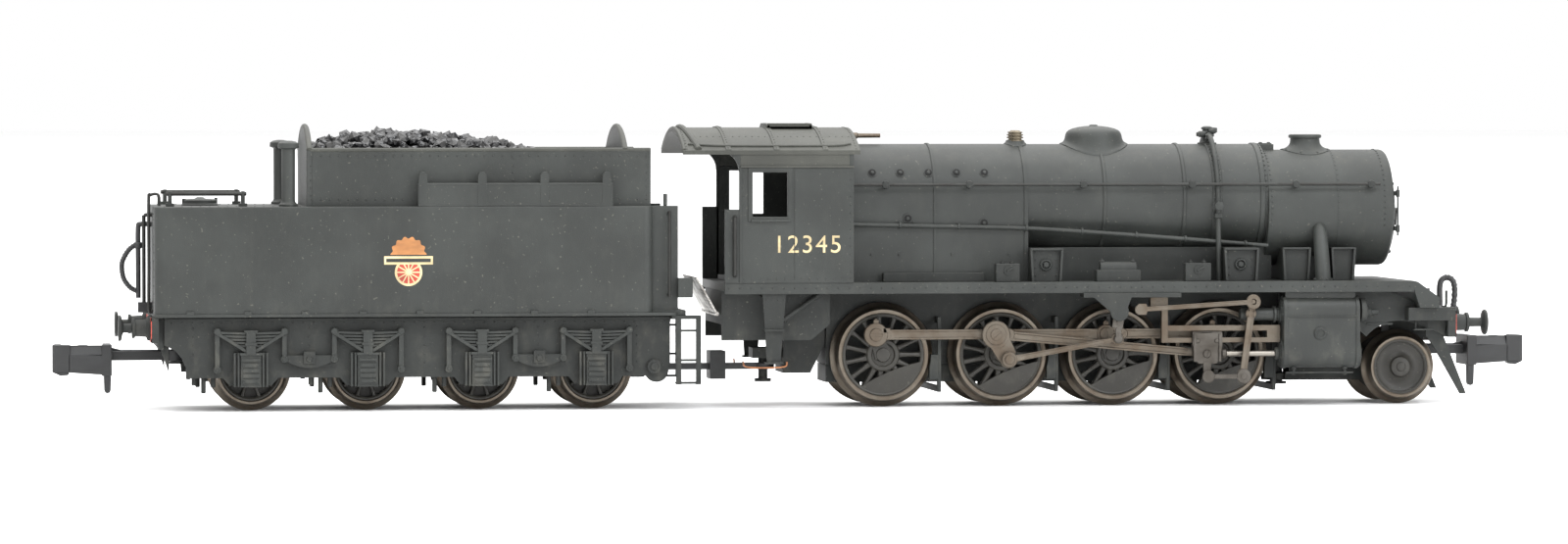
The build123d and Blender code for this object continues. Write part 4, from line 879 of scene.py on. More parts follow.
def boiler_pieces(settings):
    rise = settings.band_height
    firebox = prism_x(wrapper_outline(0.0), 4.35, FIREBOX_END)
    shells = [firebox, lathe([(0, 21.5), (BOILER_R - 0.02, 21.5), (BOILER_R - 0.02, BARREL_END), (0, BARREL_END)], (0, 0, BOILER_Z), "x", 128)]
    bands = [prism_x(wrapper_outline(rise * h), 12.58 + e, 12.9 - e) for h, e in ((0.5, 0.0), (1.0, 0.05))]
    bands += [prism_x(wrapper_outline(rise * h), 21.38 + e, 21.8 - e) for h, e in ((0.5, 0.0), (1.0, 0.05))]
    bands.append(prism_x(wrapper_outline(rise * 0.8), 4.3, 4.7))
    for x, width in ((29.3, 0.34), (37.1, 0.34), (40.33, 0.95), (44.78, 0.5)):
        bands.append(hoop(x - width / 2, x + width / 2, BOILER_R, BOILER_Z, rise))
    put("boiler_shell", join(*shells), "engine", FINISHES["body"], ("boiler",), 0.0, 25)
    put("boiler_bands", join(*bands), "engine", FINISHES["body"], (), 0.0, 25)

    fittings, recess_shade_discs = [], []
    for side in (NEAR, FAR):
        high = math.degrees(math.asin(2.55 / BOILER_R))
        for i in range(5):
            angle = high if side > 0 else 180 - high
            plug = 6.75 + 2.72 * i
            fittings.append(on_barrel(plug, angle, [(0.47, -0.1), (0.46, 0.05)], sides=20))
            fittings.append(on_barrel(plug, angle, [(0.17, 0.0), (0.17, 0.16), (0.12, 0.2)], sides=12))
            # A near-black disc over each plug's ring: painted shade for the dark recess round the plug.
            recess_shade_discs.append(on_barrel(plug, angle, [(0.36, -0.05), (0.36, 0.1)], sides=14))
        for x, z in ((10.1, 18.05), (17.5, 17.6)):
            place_at = (x, side * BOILER_R, z)
            fittings.append(stem(place_at, (0, side, 0), [(0.47, 0.0), (0.46, 0.09)], 20))
            fittings.append(stem(place_at, (0, side, 0), [(0.17, 0.0), (0.17, 0.2), (0.12, 0.24)], 12))
            recess_shade_discs.append(stem(place_at, (0, side, 0), [(0.36, -0.05), (0.36, 0.14)], 14))
            fittings.append(stem((x + 0.6, side * BOILER_R, z - 0.35), (0, side, 0), [(0.1, 0.0), (0.1, 0.14)], 8))
        for x in (6.6, 9.3, 14.4, 19.9):
            fittings.append(stem((x, side * BOILER_R, 14.6), (0, side, 0), [(0.13, 0.0), (0.11, 0.12)], 8))
    put("washout_plugs", join(*fittings), "engine", FINISHES["body"], (), 0.0)
    # The near-black discs are painted shade standing in for the plug recesses.
    put("washout_painted_shade", join(*recess_shade_discs), "engine", FINISHES["soot"], (), 0.0)

    pitch = settings.rivet_pitch
    arcs = []
    for x, offset, smoke in ((40.05, rise, False), (40.61, rise, False), (45.12, 0.0, False), (45.62, 0.0, True), (56.75, 0.0, True), (52.2, 0.0, True)):
        r = SMOKE_R if smoke else BOILER_R
        count = int(2 * np.pi * r * 215 / 360 / pitch)
        degrees = np.linspace(-17, 197, count)
        arcs.append(barrel_point(np.full(count, x), degrees, offset, smoke))
    points, normals = (np.concatenate(part) for part in zip(*arcs))
    put("barrel_rivets", studs(points, normals, 0.1, 0.07, 6), "engine", FINISHES["smoke"])


def smokebox_pieces():
    profile = [(0, BARREL_END), (SMOKE_R - 0.04, BARREL_END), (SMOKE_R, BARREL_END + 0.06), (SMOKE_R, SMOKE_END - 0.22)]
    profile += [(SMOKE_R - 0.05, SMOKE_END - 0.02), (SMOKE_R - 0.16, SMOKE_END + 0.12), (SMOKE_R - 0.34, SMOKE_END + 0.2)]
    profile += [(SMOKE_R - 0.6, SMOKE_END + 0.24), (4.62, SMOKE_END + 0.24), (4.5, SMOKE_END + 0.1), (0, SMOKE_END + 0.1)]
    drum = lathe(profile, (0, 0, SMOKE_Z), "x", 128)
    seam = hoop(52.05, 52.35, SMOKE_R, SMOKE_Z, 0.03)
    cap = join(slab((45.25, -0.75, 24.2), (46.75, 0.75, 25.1)), slab((45.4, -0.55, 25.0), (46.6, 0.55, 25.2)))
    bolts = studs([(x, y, 25.2) for x in (45.6, 46.4) for y in (-0.35, 0.35)], (0, 0, 1), 0.13, 0.1, 6)
    put("smokebox_drum", join(drum, seam), "engine", FINISHES["smoke"], ("smokebox",), 0.0, 24)
    put("expansion_cap", join(cap, bolts), "engine", FINISHES["smoke"], (), 0.05)

    x, z = SMOKE_END + 0.25, SMOKE_Z - 0.3
    dish = [(0, x - 0.1), (4.42, x - 0.1), (4.42, x + 0.14), (4.34, x + 0.22), (4.2, x + 0.26), (3.9, x + 0.36)]
    dish += [(3.2, x + 0.51), (2.5, x + 0.62), (1.7, x + 0.7), (0.8, x + 0.75), (0, x + 0.76)]
    door = [lathe(dish, (0, 0, z), "x", 96)]
    for dz in (-1.7, 1.7):
        y = np.linspace(-4.75, -0.9, 12)
        swell = x + 0.8 - 0.3 * (np.hypot(y, dz) / 4.4) ** 2
        strap = np.array([[(swell[i] + a, y[i], z + dz + b) for a, b in ((-0.3, -0.22), (0.02, -0.2), (0.02, 0.2), (-0.3, 0.22))] for i in range(12)])
        door += [grid(strap, around=True, caps=True), rod((x + 0.42, -4.75, z + dz - 0.35), (x + 0.42, -4.75, z + dz + 0.35), 0.2)]
        door.append(studs(np.stack([swell[2:-1:3] + 0.02, y[2:-1:3], np.full(3, z + dz)], -1), (1, 0, 0), 0.1, 0.06, 6))
    door.append(rod((x + 0.42, -4.75, z - 2.4), (x + 0.42, -4.75, z + 2.4), 0.09, 8))
    turns = circle(8, 0.2)
    clamps = np.stack([np.full(8, x + 0.02), 4.75 * np.cos(turns), z + 4.75 * np.sin(turns)], axis=-1)
    door.append(studs(clamps, (1, 0, 0), 0.2, 0.2, 8))
    put("smokebox_front", join(*door), "engine", FINISHES["smoke"], ("smokebox_door",), 0.0)
    dart = [lathe([(0, x + 0.6), (0.5, x + 0.6), (0.5, x + 0.84), (0.3, x + 0.95), (0.22, x + 1.45), (0.12, x + 1.5), (0, x + 1.5)], (0, 0, z), "x", 24)]
    dart += [rod((x + 1.05, 0, z), (x + 1.1, 1.25, z + 1.0), 0.12, 10), rod((x + 1.32, 0, z), (x + 1.38, 0.45, z - 1.45), 0.12, 10)]
    iron = flat_bar([(x - 0.05, z + 4.3), (x + 0.12, z + 4.5), (x + 0.12, z + 5.55)], -0.22, 0.22, 0.12)
    put("door_dart", join(*dart), "engine", FINISHES["wire"], (), 0.0)
    put("door_lamp_iron", iron, "engine", FINISHES["smoke"], (), 0.02)


def chimney_piece():
    x, crown = 50.0, SMOKE_Z + SMOKE_R
    profile = [(0.95, crown - 0.1, 1), (2.4, crown - 0.1, 1), (2.4, crown + 0.07, 1), (2.2, crown + 0.1, 1), (1.95, crown + 0.17, 0.9)]
    profile += [(1.72, 24.86, 0.6), (1.56, 25.02, 0.25), (1.47, 25.2, 0.05), (1.44, 25.4, 0), (1.42, 25.62, 0), (1.46, 25.68, 0), (1.58, 25.72, 0)]
    profile += [(1.61, 25.86, 0), (1.57, 25.99, 0), (1.42, 26.05, 0), (1.12, 26.05, 0), (1.05, 25.98, 0), (1.0, 25.6, 0), (0.95, 24.6, 1), (0.95, crown - 0.1, 1)]
    put("chimney_casting", saddled(profile, x, SMOKE_Z, SMOKE_R), "engine", FINISHES["smoke"], ("chimney",), 0.0, 40)
    bolts = [(x + 2.18 * math.cos(a), 2.18 * math.sin(a)) for a in circle(8, 0.39)]
    heads = [(px, py, SMOKE_Z + math.sqrt(SMOKE_R**2 - py**2) + 0.1) for px, py in bolts]
    put("chimney_bolts", studs(heads, (0, 0, 1), 0.11, 0.08, 6), "engine", FINISHES["smoke"])


def dome_piece():
    x, crown = 29.1, BOILER_Z + BOILER_R
    profile = [(0, crown - 0.1, 1), (3.3, crown - 0.1, 1), (3.3, crown + 0.05, 1), (3.16, crown + 0.11, 1), (2.99, crown + 0.2, 0.93), (2.86, 25.5, 0.7)]
    profile += [(2.79, 25.68, 0.35), (2.75, 25.85, 0.1), (2.71, 26.05, 0), (2.6, 26.28, 0), (2.38, 26.48, 0), (2.0, 26.64, 0), (1.45, 26.77, 0)]
    profile += [(0.8, 26.86, 0), (0.42, 26.88, 0), (0.38, 26.97, 0), (0.2, 27.0, 0), (0, 27.0, 0)]
    put("dome_cover", saddled(profile, x, BOILER_Z, BOILER_R, 96), "engine", FINISHES["body"], ("dome",), 0.0, 50)


def valve_pieces():
    x = 21.4
    crown = BOILER_Z + BOILER_R
    rings = [(0, crown - 0.1, 1), (1.75, crown - 0.1, 1), (1.72, crown + 0.06, 1), (1.52, crown + 0.14, 0.9), (1.42, 25.42, 0.2), (1.34, 25.5, 0), (0, 25.5, 0)]
    base = saddled(rings, x, BOILER_Z, BOILER_R, 48)
    points, faces = base
    points = (points - (x, 0, 0)) * (0.62, 1, 1) + (x, 0, 0)
    parts = []
    for y in (-0.75, 0.75):
        turning = [(0, 25.4), (0.64, 25.4), (0.64, 25.52), (0.5, 25.56), (0.5, 25.66), (0.68, 25.7), (0.68, 25.8), (0.52, 25.84), (0.52, 25.92)]
        turning += [(0.66, 25.96), (0.66, 26.06), (0.5, 26.1), (0.5, 26.18), (0.6, 26.22), (0.6, 26.3), (0.4, 26.34), (0.3, 26.44), (0, 26.46)]
        parts.append(lathe(turning, (x, y, 0), "z", 28))
        t = circle(6)
        ports = np.stack([x + 0.5 * np.cos(t), y + 0.5 * np.sin(t), np.full(6, 25.8)], -1)
        parts.append(studs(ports, np.stack([np.cos(t), np.sin(t), 0 * t], -1), 0.08, 0.06, 5))
    put("safety_valve_seat", (points, faces), "engine", FINISHES["body"], (), 0.0, 40)
    put("safety_valve_pair", join(*parts), "engine", FINISHES["brass"], ("safety_valves",), 0.0, 40)


def top_feed_piece():
    x = 40.3
    crown = BOILER_Z + BOILER_R
    body = [(0, crown - 0.1, 1), (0.95, crown - 0.1, 1), (0.93, crown + 0.1, 1), (0.6, crown + 0.16, 0.8), (0.46, 25.5, 0), (0.46, 25.78, 0)]
    body += [(0.7, 25.84, 0), (0.7, 26.12, 0), (0.5, 26.2, 0), (0.42, 26.5, 0), (0.56, 26.55, 0), (0.56, 26.72, 0), (0.3, 26.84, 0), (0, 26.85, 0)]
    parts = [saddled(body, x, BOILER_Z, BOILER_R, 40)]
    for side in (NEAR, FAR):
        bend = smooth_path([(x, side * 0.6, 25.9), (x, side * 1.7, 25.75), (x, side * 2.9, 24.95), (x, side * 4.2, 23.55), (x, side * 5.15, 21.7), (x, side * 5.58, 19.6), (x, side * 5.6, 18.2)], 6)
        parts += [tube(bend, 0.24, 14), rod((x, side * 0.8, 25.85), (x, side * 1.35, 25.8), 0.42, 6)]
        parts += [rod((x + 0.1, side * 0.5, 26.3), (x + 0.75, side * 0.6, 26.45), 0.3, 12), rod((x + 0.65, side * 0.6, 26.2), (x + 0.65, side * 0.6, 26.7), 0.24, 10)]
        parts += [rod((x - 0.2, side * 0.5, 26.1), (x - 0.75, side * 0.6, 26.05), 0.3, 12), rod((x - 0.7, side * 0.6, 25.85), (x - 0.7, side * 0.6, 26.25), 0.24, 10)]
    put("top_feed_valve", join(*parts), "engine", FINISHES["body"], ("top_feed",), 0.0, 40)


def handrail_pieces():
    y, z = 5.85, 21.27
    wires, knobs = [], []
    for side in (NEAR, FAR):
        wires.append(rod((4.4, side * y, z), (56.2, side * y, z), 0.15, 14))
        for x in (7.9, 16.0, 27.1, 37.7, 47.9, 55.3):
            base = side * (5.1 if x < 45 else 5.05)
            along = side * (y + 0.22) - base
            levels = [(0.24, 0), (0.2, 0.12), (0.13, 0.2), (0.13, abs(along) - 0.5), (0.34, abs(along) - 0.42), (0.4, abs(along) - 0.22), (0.34, abs(along) - 0.04), (0.12, abs(along))]
            knobs.append(stem((x, base, z), (0, side, 0), levels, 16))
        rail = smooth_path([(-7.06, side * 9.1, 12.7), (-7.06, side * 9.3, 12.85), (-7.06, side * 9.34, 13.2), (-7.06, side * 9.34, 17.8), (-7.06, side * 9.3, 18.15), (-7.06, side * 9.1, 18.3)], 6)
        wires.append(tube(rail, 0.19, 12))
    put("handrail_wires", join(*wires), "engine", FINISHES["wire"], ("engine_handrails",), 0.0)
    put("handrail_knobs", join(*knobs), "engine", FINISHES["frame"], (), 0.0)


def pipe_pieces():
    pipes = []
    for side in (NEAR, FAR):
        steam = smooth_path([(50.3, side * 4.7, 17.25), (50.3, side * 5.25, 16.95), (50.3, side * 5.75, 16.2), (50.3, side * 6.35, 14.6), (50.3, side * 6.85, 12.9), (50.3, side * 7.05, 11.7)], 8)
        pipes.append(tube(steam, np.interp(steam[:, 2], [11.9, 16.4, 17.0], [0.76, 0.68, 0.6]), 28))
        pipes.append(rod((50.3, side * 7.02, 11.95), (50.3, side * 7.04, 12.12), 0.92, 28))
        ring = [(50.3 + 0.85 * math.cos(a), side * 7.03 + 0.85 * math.sin(a), 12.12) for a in circle(8, 0.3)]
        pipes.append(studs(ring, (0, 0, 1), 0.1, 0.12, 6))
        ejector = smooth_path([(4.4, side * 5.62, 17.5), (12.0, side * 5.62, 17.32), (21.6, side * 5.62, 17.08), (30.0, side * 5.62, 16.55), (38.0, side * 5.6, 15.95), (45.2, side * 5.55, 15.35)], 8)
        pipes.append(tube(ejector, 0.2, 14))
        for x in (9.3, 15.0, 21.6, 27.0, 32.3, 37.1, 43.0):
            z = float(np.interp(x, ejector[:, 0], ejector[:, 2]))
            pipes.append(rod((x - 0.14, side * 5.6, z), (x + 0.14, side * 5.6, z), 0.29, 14))
            pipes.append(rod((x, side * 5.1, z + 0.22), (x, side * 5.75, z + 0.22), 0.12, 8))
        feed = smooth_path([(40.3, side * 5.6, 18.3), (40.3, side * 5.68, 17.2), (40.3, side * 5.95, 14.4), (40.3, side * 6.15, 11.7)], 8)
        pipes += [tube(feed, 0.25, 14), rod((40.3, side * 5.62, 17.95), (40.3, side * 5.62, 18.45), 0.42, 6)]
        clack = [(0.5, 0.0), (0.5, 0.12), (0.34, 0.2), (0.34, 0.7), (0.42, 0.74), (0.42, 0.95), (0.2, 1.0)]
        pipes.append(stem((40.3, side * 5.25, 19.2), (0, side, 0), clack, 18))
    put("boiler_pipes", join(*pipes), "engine", FINISHES["body"], ("engine_pipes",), 0.0, 40)
    turning = [(0, 3.9), (0.18, 3.9), (0.18, 4.9), (0.3, 4.95), (0.3, 5.15), (0.22, 5.2), (0.22, 5.4), (0.3, 5.45), (0.3, 5.95), (0.22, 6.05), (0.2, 8.2), (0, 8.22)]
    put("whistle_pipe", lathe(turning, (0, 0, 25.95), "x", 20), "engine", FINISHES["motion"], (), 0.0)


# ------------------------------------------------------------------ cab
def roof_height(y, drop=0.0):
    """Height of the roof's arc at a distance from the centre line."""
    return 5.99 - drop + np.sqrt(20.76**2 - np.asarray(y, float) ** 2)


def roof_strip(x0, x1, half_width, rise, thick):
    """Curved strip across the roof: the arc's points in Y, repeated at two thicknesses and two X."""
    y = np.linspace(-half_width, half_width, 41)
    top = roof_height(y) + rise
    section = np.concatenate([np.stack([y, top], -1), np.stack([y, top - thick], -1)[::-1]])
    return prism_x(section, x0, x1)


def cab_pieces():
    softened("cab", "engine", FINISHES["body"], 0.05)
    details, rivets = [], []
    for side in (NEAR, FAR):
        rim = np.array([(-5.62, 18.02), (-1.74, 18.02), (-1.74, 22.76), (-5.62, 22.76)])
        for a, b in zip(rim, np.roll(rim, -1, axis=0)):
            along = (0.16, 0.16) if abs(a[0] - b[0]) < 0.1 else (-0.16, 0.16)
            low, high = np.minimum(a, b) - along, np.maximum(a, b) + along
            details.append(sided(slab((low[0], 9.05, low[1]), (high[0], 9.2, high[1])), side))
        details.append(sided(slab((-1.38, 9.05, 12.4), (-1.3, 9.14, 22.9)), side))
        corner = [(-6.3, 24.7), (-8.9, 24.5)] + [tuple(p) for p in arc((-8.6, 22.6), 1.95, 80, 0, 10)] + [(-6.3, 22.6)]
        details.append(sided(plate(corner, 8.62, 9.08), side))
        details.append(slab((-5.5, min(side * 9.1, side * 9.38), 17.84), (-1.85, max(side * 9.1, side * 9.38), 18.04)))
        edge = np.concatenate([row((-6.2, side * 9.1, 12.4), (4.05, side * 9.1, 12.4), 0.8), row((4.05, side * 9.1, 13.1), (4.05, side * 9.1, 22.6), 0.8), row((-6.25, side * 9.1, 19.4), (-6.25, side * 9.1, 22.6), 0.8)])
        rivets.append(studs(edge, (0, side, 0), 0.09, 0.05, 6))
        details.append(slab((-6.62, min(side * 8.7, side * 9.18), 12.0), (-6.4, max(side * 8.7, side * 9.18), 22.95)))
    for y in (-7.2, 7.2):
        ring = lathe([(0.95, 4.3), (1.18, 4.3), (1.2, 4.42), (1.12, 4.5), (0.98, 4.5), (0.95, 4.3)], (0, y, 21.4), "x", 36)
        details.append((((ring[0] - (0, y, 21.4)) * (1, 1.0, 1.2)) + (0, y, 21.4), ring[1]))
    put("cab_beading", join(*details), "engine", FINISHES["body"], (), 0.03)
    put("cab_rivets", join(*rivets), "engine", FINISHES["body"])
    softened("backhead", "engine", FINISHES["frame"], 0.06)


def roof_pieces():
    softened("cab_roof", "engine", FINISHES["roof"], 0.09)
    rows = []
    y = np.linspace(-8.9, 8.9, 30)
    for x in (-11.6, -7.65, -3.05, 1.65, 4.6):
        height = roof_height(y) + (0.1 if x in (-7.65, -3.05, 1.65) else 0.0)
        rows.append(studs(np.stack([np.full(30, x), y, height], -1), np.stack([0 * y, y / 20.76, 1 + 0 * y], -1), 0.09, 0.05, 6))
    for y in (-5.9, 5.9):
        points = row((-11.2, y, roof_height(y)), (4.3, y, roof_height(y)), 0.62)
        rows.append(studs(points, (0, y / 20.76, 1), 0.08, 0.045, 6))
    put("roof_rivets", join(*rows), "engine", FINISHES["roof"])
    gutters, vent = [], []
    for side in (NEAR, FAR):
        y = np.array([8.0, 8.4, 8.4, 8.0]) * side
        x = [-11.4, -8.0, 2.0, 4.2]
        curve = smooth_path([(x[0], y[0], 0), (x[1], y[1], 0), (x[2], y[2], 0), (x[3], y[3], 0)], 10)
        curve[:, 2] = roof_height(curve[:, 1]) + 0.06
        gutters.append(tube(curve, 0.13, 8))
    vent.append(roof_strip(-3.0, 1.1, 2.4, 0.34, 0.3))
    vent += [roof_strip(-3.15, -2.85, 2.6, 0.42, 0.4), roof_strip(0.95, 1.25, 2.6, 0.42, 0.4)]
    vent += [slab((-3.1, y - 0.1, 26.4), (1.2, y + 0.1, 27.14)) for y in (-2.5, 2.5)]
    y = np.linspace(-9.0, 9.0, 41)
    for x, swoop, lift, radius in ((-11.25, 0.75, 0.02, 0.3), (-11.86, 0.0, -0.06, 0.17)):
        gutters.append(tube(np.stack([x + swoop * (y / 9) ** 2, y, roof_height(y) + lift], -1), radius, 10))
    put("roof_gutters", join(*gutters), "engine", FINISHES["roof"])
    put("roof_ventilator", join(*vent), "engine", FINISHES["roof"], (), 0.03)


def digits(text, height, centre, body):
    """Plain generic number as a thin transfer, one per side; text curves become meshes first."""
    for side in (NEAR, FAR):
        curve = bpy.data.curves.new("numerals", "FONT")
        curve.body, curve.align_x, curve.align_y = text, "CENTER", "CENTER"
        curve.size, curve.extrude, curve.space_character = height / 0.72, 0.012, 1.15
        holder = bpy.data.objects.new("numerals", curve)
        bpy.context.scene.collection.objects.link(holder)
        bpy.context.view_layer.update()
        mesh = bpy.data.meshes.new_from_object(holder)
        bpy.data.objects.remove(holder)
        points = np.zeros(len(mesh.vertices) * 3)
        mesh.vertices.foreach_get("co", points)
        x, z, y = points.reshape(-1, 3).T
        x, y = (x, -y) if side < 0 else (-x, y)
        placed = (np.stack([x, y, z], -1) + (centre[0], side * centre[1], centre[2])) * MM
        mesh.vertices.foreach_set("co", placed.ravel())
        mesh.update()
        place(f"running_number_{SIDE_NAMES[side]}", mesh, body, FINISHES["cream"])


def emblem():
    """Plain transfer in place of a crest: a half-round fan over a bar over a spoked roundel."""
    x, z, y = -38.0, 14.3, TANK_HALF
    t = np.linspace(0, np.pi, 61)
    reach = 1.62 + 0.1 * np.cos(14 * t)
    fan = np.stack([x + reach * np.cos(t), z + 0.5 + reach * np.sin(t)], -1)
    disc = eye((x, z - 1.15), y - 0.02, y + 0.006, 1.28, steps=40)
    rim = lathe([(1.08, y - 0.02), (1.3, y - 0.02), (1.3, y + 0.012), (1.08, y + 0.012), (1.08, y - 0.02)], (x, 0, z - 1.15), "y", 40)
    spokes = [turned(slab((-1.1, y - 0.02, -0.06), (1.1, y + 0.012, 0.06)), a) for a in (0, 30, 60, 90, 120, 150)]
    wheel = join(rim, moved(join(*spokes), (x, 0, z - 1.15)), eye((x, z - 1.15), y - 0.02, y + 0.014, 0.3, steps=20))
    bars = plate([(x - 2.3, z - 0.42), (x + 2.3, z - 0.42), (x + 2.3, z + 0.36), (x - 2.3, z + 0.36)], y - 0.02, y + 0.018)
    line = plate([(x - 2.1, z - 0.2), (x + 2.1, z - 0.2), (x + 2.1, z + 0.14), (x - 2.1, z + 0.14)], y - 0.02, y + 0.022)
    rows = (("fan", plate(fan, y - 0.02, y + 0.008), "orange"), ("roundel", disc, "red"), ("wheel", wheel, "cream"), ("bar", bars, "cream"), ("line", line, "body"))
    for side in (NEAR, FAR):
        for name, shape, finish in rows:
            put(f"transfer_{name}_{SIDE_NAMES[side]}", sided(shape, side), "tender", FINISHES[finish])


# ------------------------------------------------------------------ running plate, cylinders and underparts
def frame_pieces():
    softened("footplate", "engine", FINISHES["body"], 0.07)
    softened("front_beam", "engine", FINISHES["frame"], 0.06)
    softened("frame_stays", "engine", FINISHES["frame"], 0.07)
    softened("platform_boxes", "engine", FINISHES["frame"], 0.09)
    softened("slide_bars", "engine", FINISHES["motion"], 0.05)
    softened("motion_brackets", "engine", FINISHES["frame"], 0.06)
    softened("brake_gear", "engine", FINISHES["frame"], 0.06)
    softened("ashpan", "engine", FINISHES["frame"], 0.06)
    softened("drawbar", "drawbar", FINISHES["coupler"], 0.08)
    softened("pony_truck", "pony_truck", FINISHES["frame"], 0.08)
    softened("fall_plate", "fall_plate", FINISHES["tread"], 0.04)
    rivets, bits, red = [], [], []
    for side in (NEAR, FAR):
        rivets.append(studs(row((-7.6, side * 9.0, 11.5), (58.4, side * 9.0, 11.5), 1.05), (0, side, 0), 0.08, 0.05, 6))
        rivets.append(studs(row((58.8, side * 8.1, 9.4), (62.6, side * 8.1, 9.4), 0.6), (0, 0, 1), 0.08, 0.05, 6))
        for x in (22.2, 24.2, 41.1, 43.3):
            rivets.append(studs(row((x, side * 7.0, 12.6), (x, side * 7.0, 14.8), 0.7), (0, side, 0), 0.09, 0.06, 6))
        for x in (28.6, 31.6):
            bits.append(stem((x, side * 7.3, 13.9), (0, 0, 1), [(0.26, 0), (0.26, 0.12), (0.12, 0.16), (0.12, 0.3)], 12))
        for x in (18.9, 19.8, 37.2, 38.5):
            bits.append(stem((x, side * 7.6, 13.72), (0, 0, 1), [(0.22, 0), (0.22, 0.18), (0.1, 0.22), (0.1, 0.36)], 12))
        for x in (19.35, 37.85):
            bits.append(stem((x, side * 8.2, 13.1), (0, side, 0), [(0.42, 0), (0.42, 0.1), (0.14, 0.12), (0.14, 0.34)], 16))
            bits.append(rod((x, side * 8.5, 13.1), (x + 0.55, side * 8.5, 13.4), 0.08, 8))
        rivets.append(studs(row((-3.95, side * 8.7, 10.4), (-2.35, side * 8.7, 10.4), 0.5), (0, side, 0), 0.08, 0.05, 6))
    flanges = []
    for x0, x1, y in ((21.8, 24.7, 7.0), (40.7, 43.8, 7.0), (46.7, 49.2, 5.6), (51.5, 53.6, 5.6)):
        for a, lean in ((x0, 0.18), (x1 - 0.24, -0.18)):
            flanges.append(plate([(a, 12.0), (a + 0.24, 12.0), (a + 0.24 - lean, 15.15), (a - lean, 15.15)], y - 0.1, y + 0.45))
        flanges.append(slab((x0 - 0.1, y - 0.1, 15.0), (x1 + 0.1, y + 0.5, 15.18)))
    for x in (23.2, 42.2):
        flanges += [eye((x, 13.6), 6.95, 7.3, 0.58, 0.4), eye((x, 13.6), 6.95, 7.42, 0.32, steps=6)]
    put("stay_flanges", both(join(*flanges)), "engine", FINISHES["cylinder"], (), 0.03)
    for x0, x1, y in ((63.08, 63.16, 8.38),):
        for low, high in ((6.6, 6.95), (8.72, 9.06)):
            red.append(slab((x0, -y, low), (x1, y, high)))
        red += [slab((x0, -y, 6.6), (x1, -y + 0.4, 9.06)), slab((x0, y - 0.4, 6.6), (x1, y, 9.06))]
    put("plate_rivets", join(*rivets), "engine", FINISHES["frame"])
    put("lubricator_parts", join(*bits), "engine", FINISHES["frame"], (), 0.0)
    put("beam_red_edge", join(*red), "engine", FINISHES["red"])
    copper = join(*(sided(flat_bar(smooth_path([(-5.6, 0, 4.35), (-5.3, 0, 3.85), (-3.4, 0, 3.75), (-1.6, 0, 3.85), (-1.35, 0, 4.3)], 6)[:, [0, 2]], 3.2, 3.9, 0.12), s) for s in (NEAR, FAR)))
    put("pickup_strip", copper, "engine", FINISHES["copper"], (), 0.0)


def cylinder_outline(grow=0.0):
    """Casing section in Y and Z: round cylinder below, round valve chest above, flat outer side."""
    low = arc((7.75, CYLINDER_Z), 1.42 + grow, -150, 0, 18)
    top = arc((7.98, 9.3), 1.2 + grow, 0, 118, 12)
    return np.concatenate([low, [(9.17 + grow, 6.2), (9.18 + grow, 8.2)], top, [(6.5, 10.9), (6.4, 5.0)]])


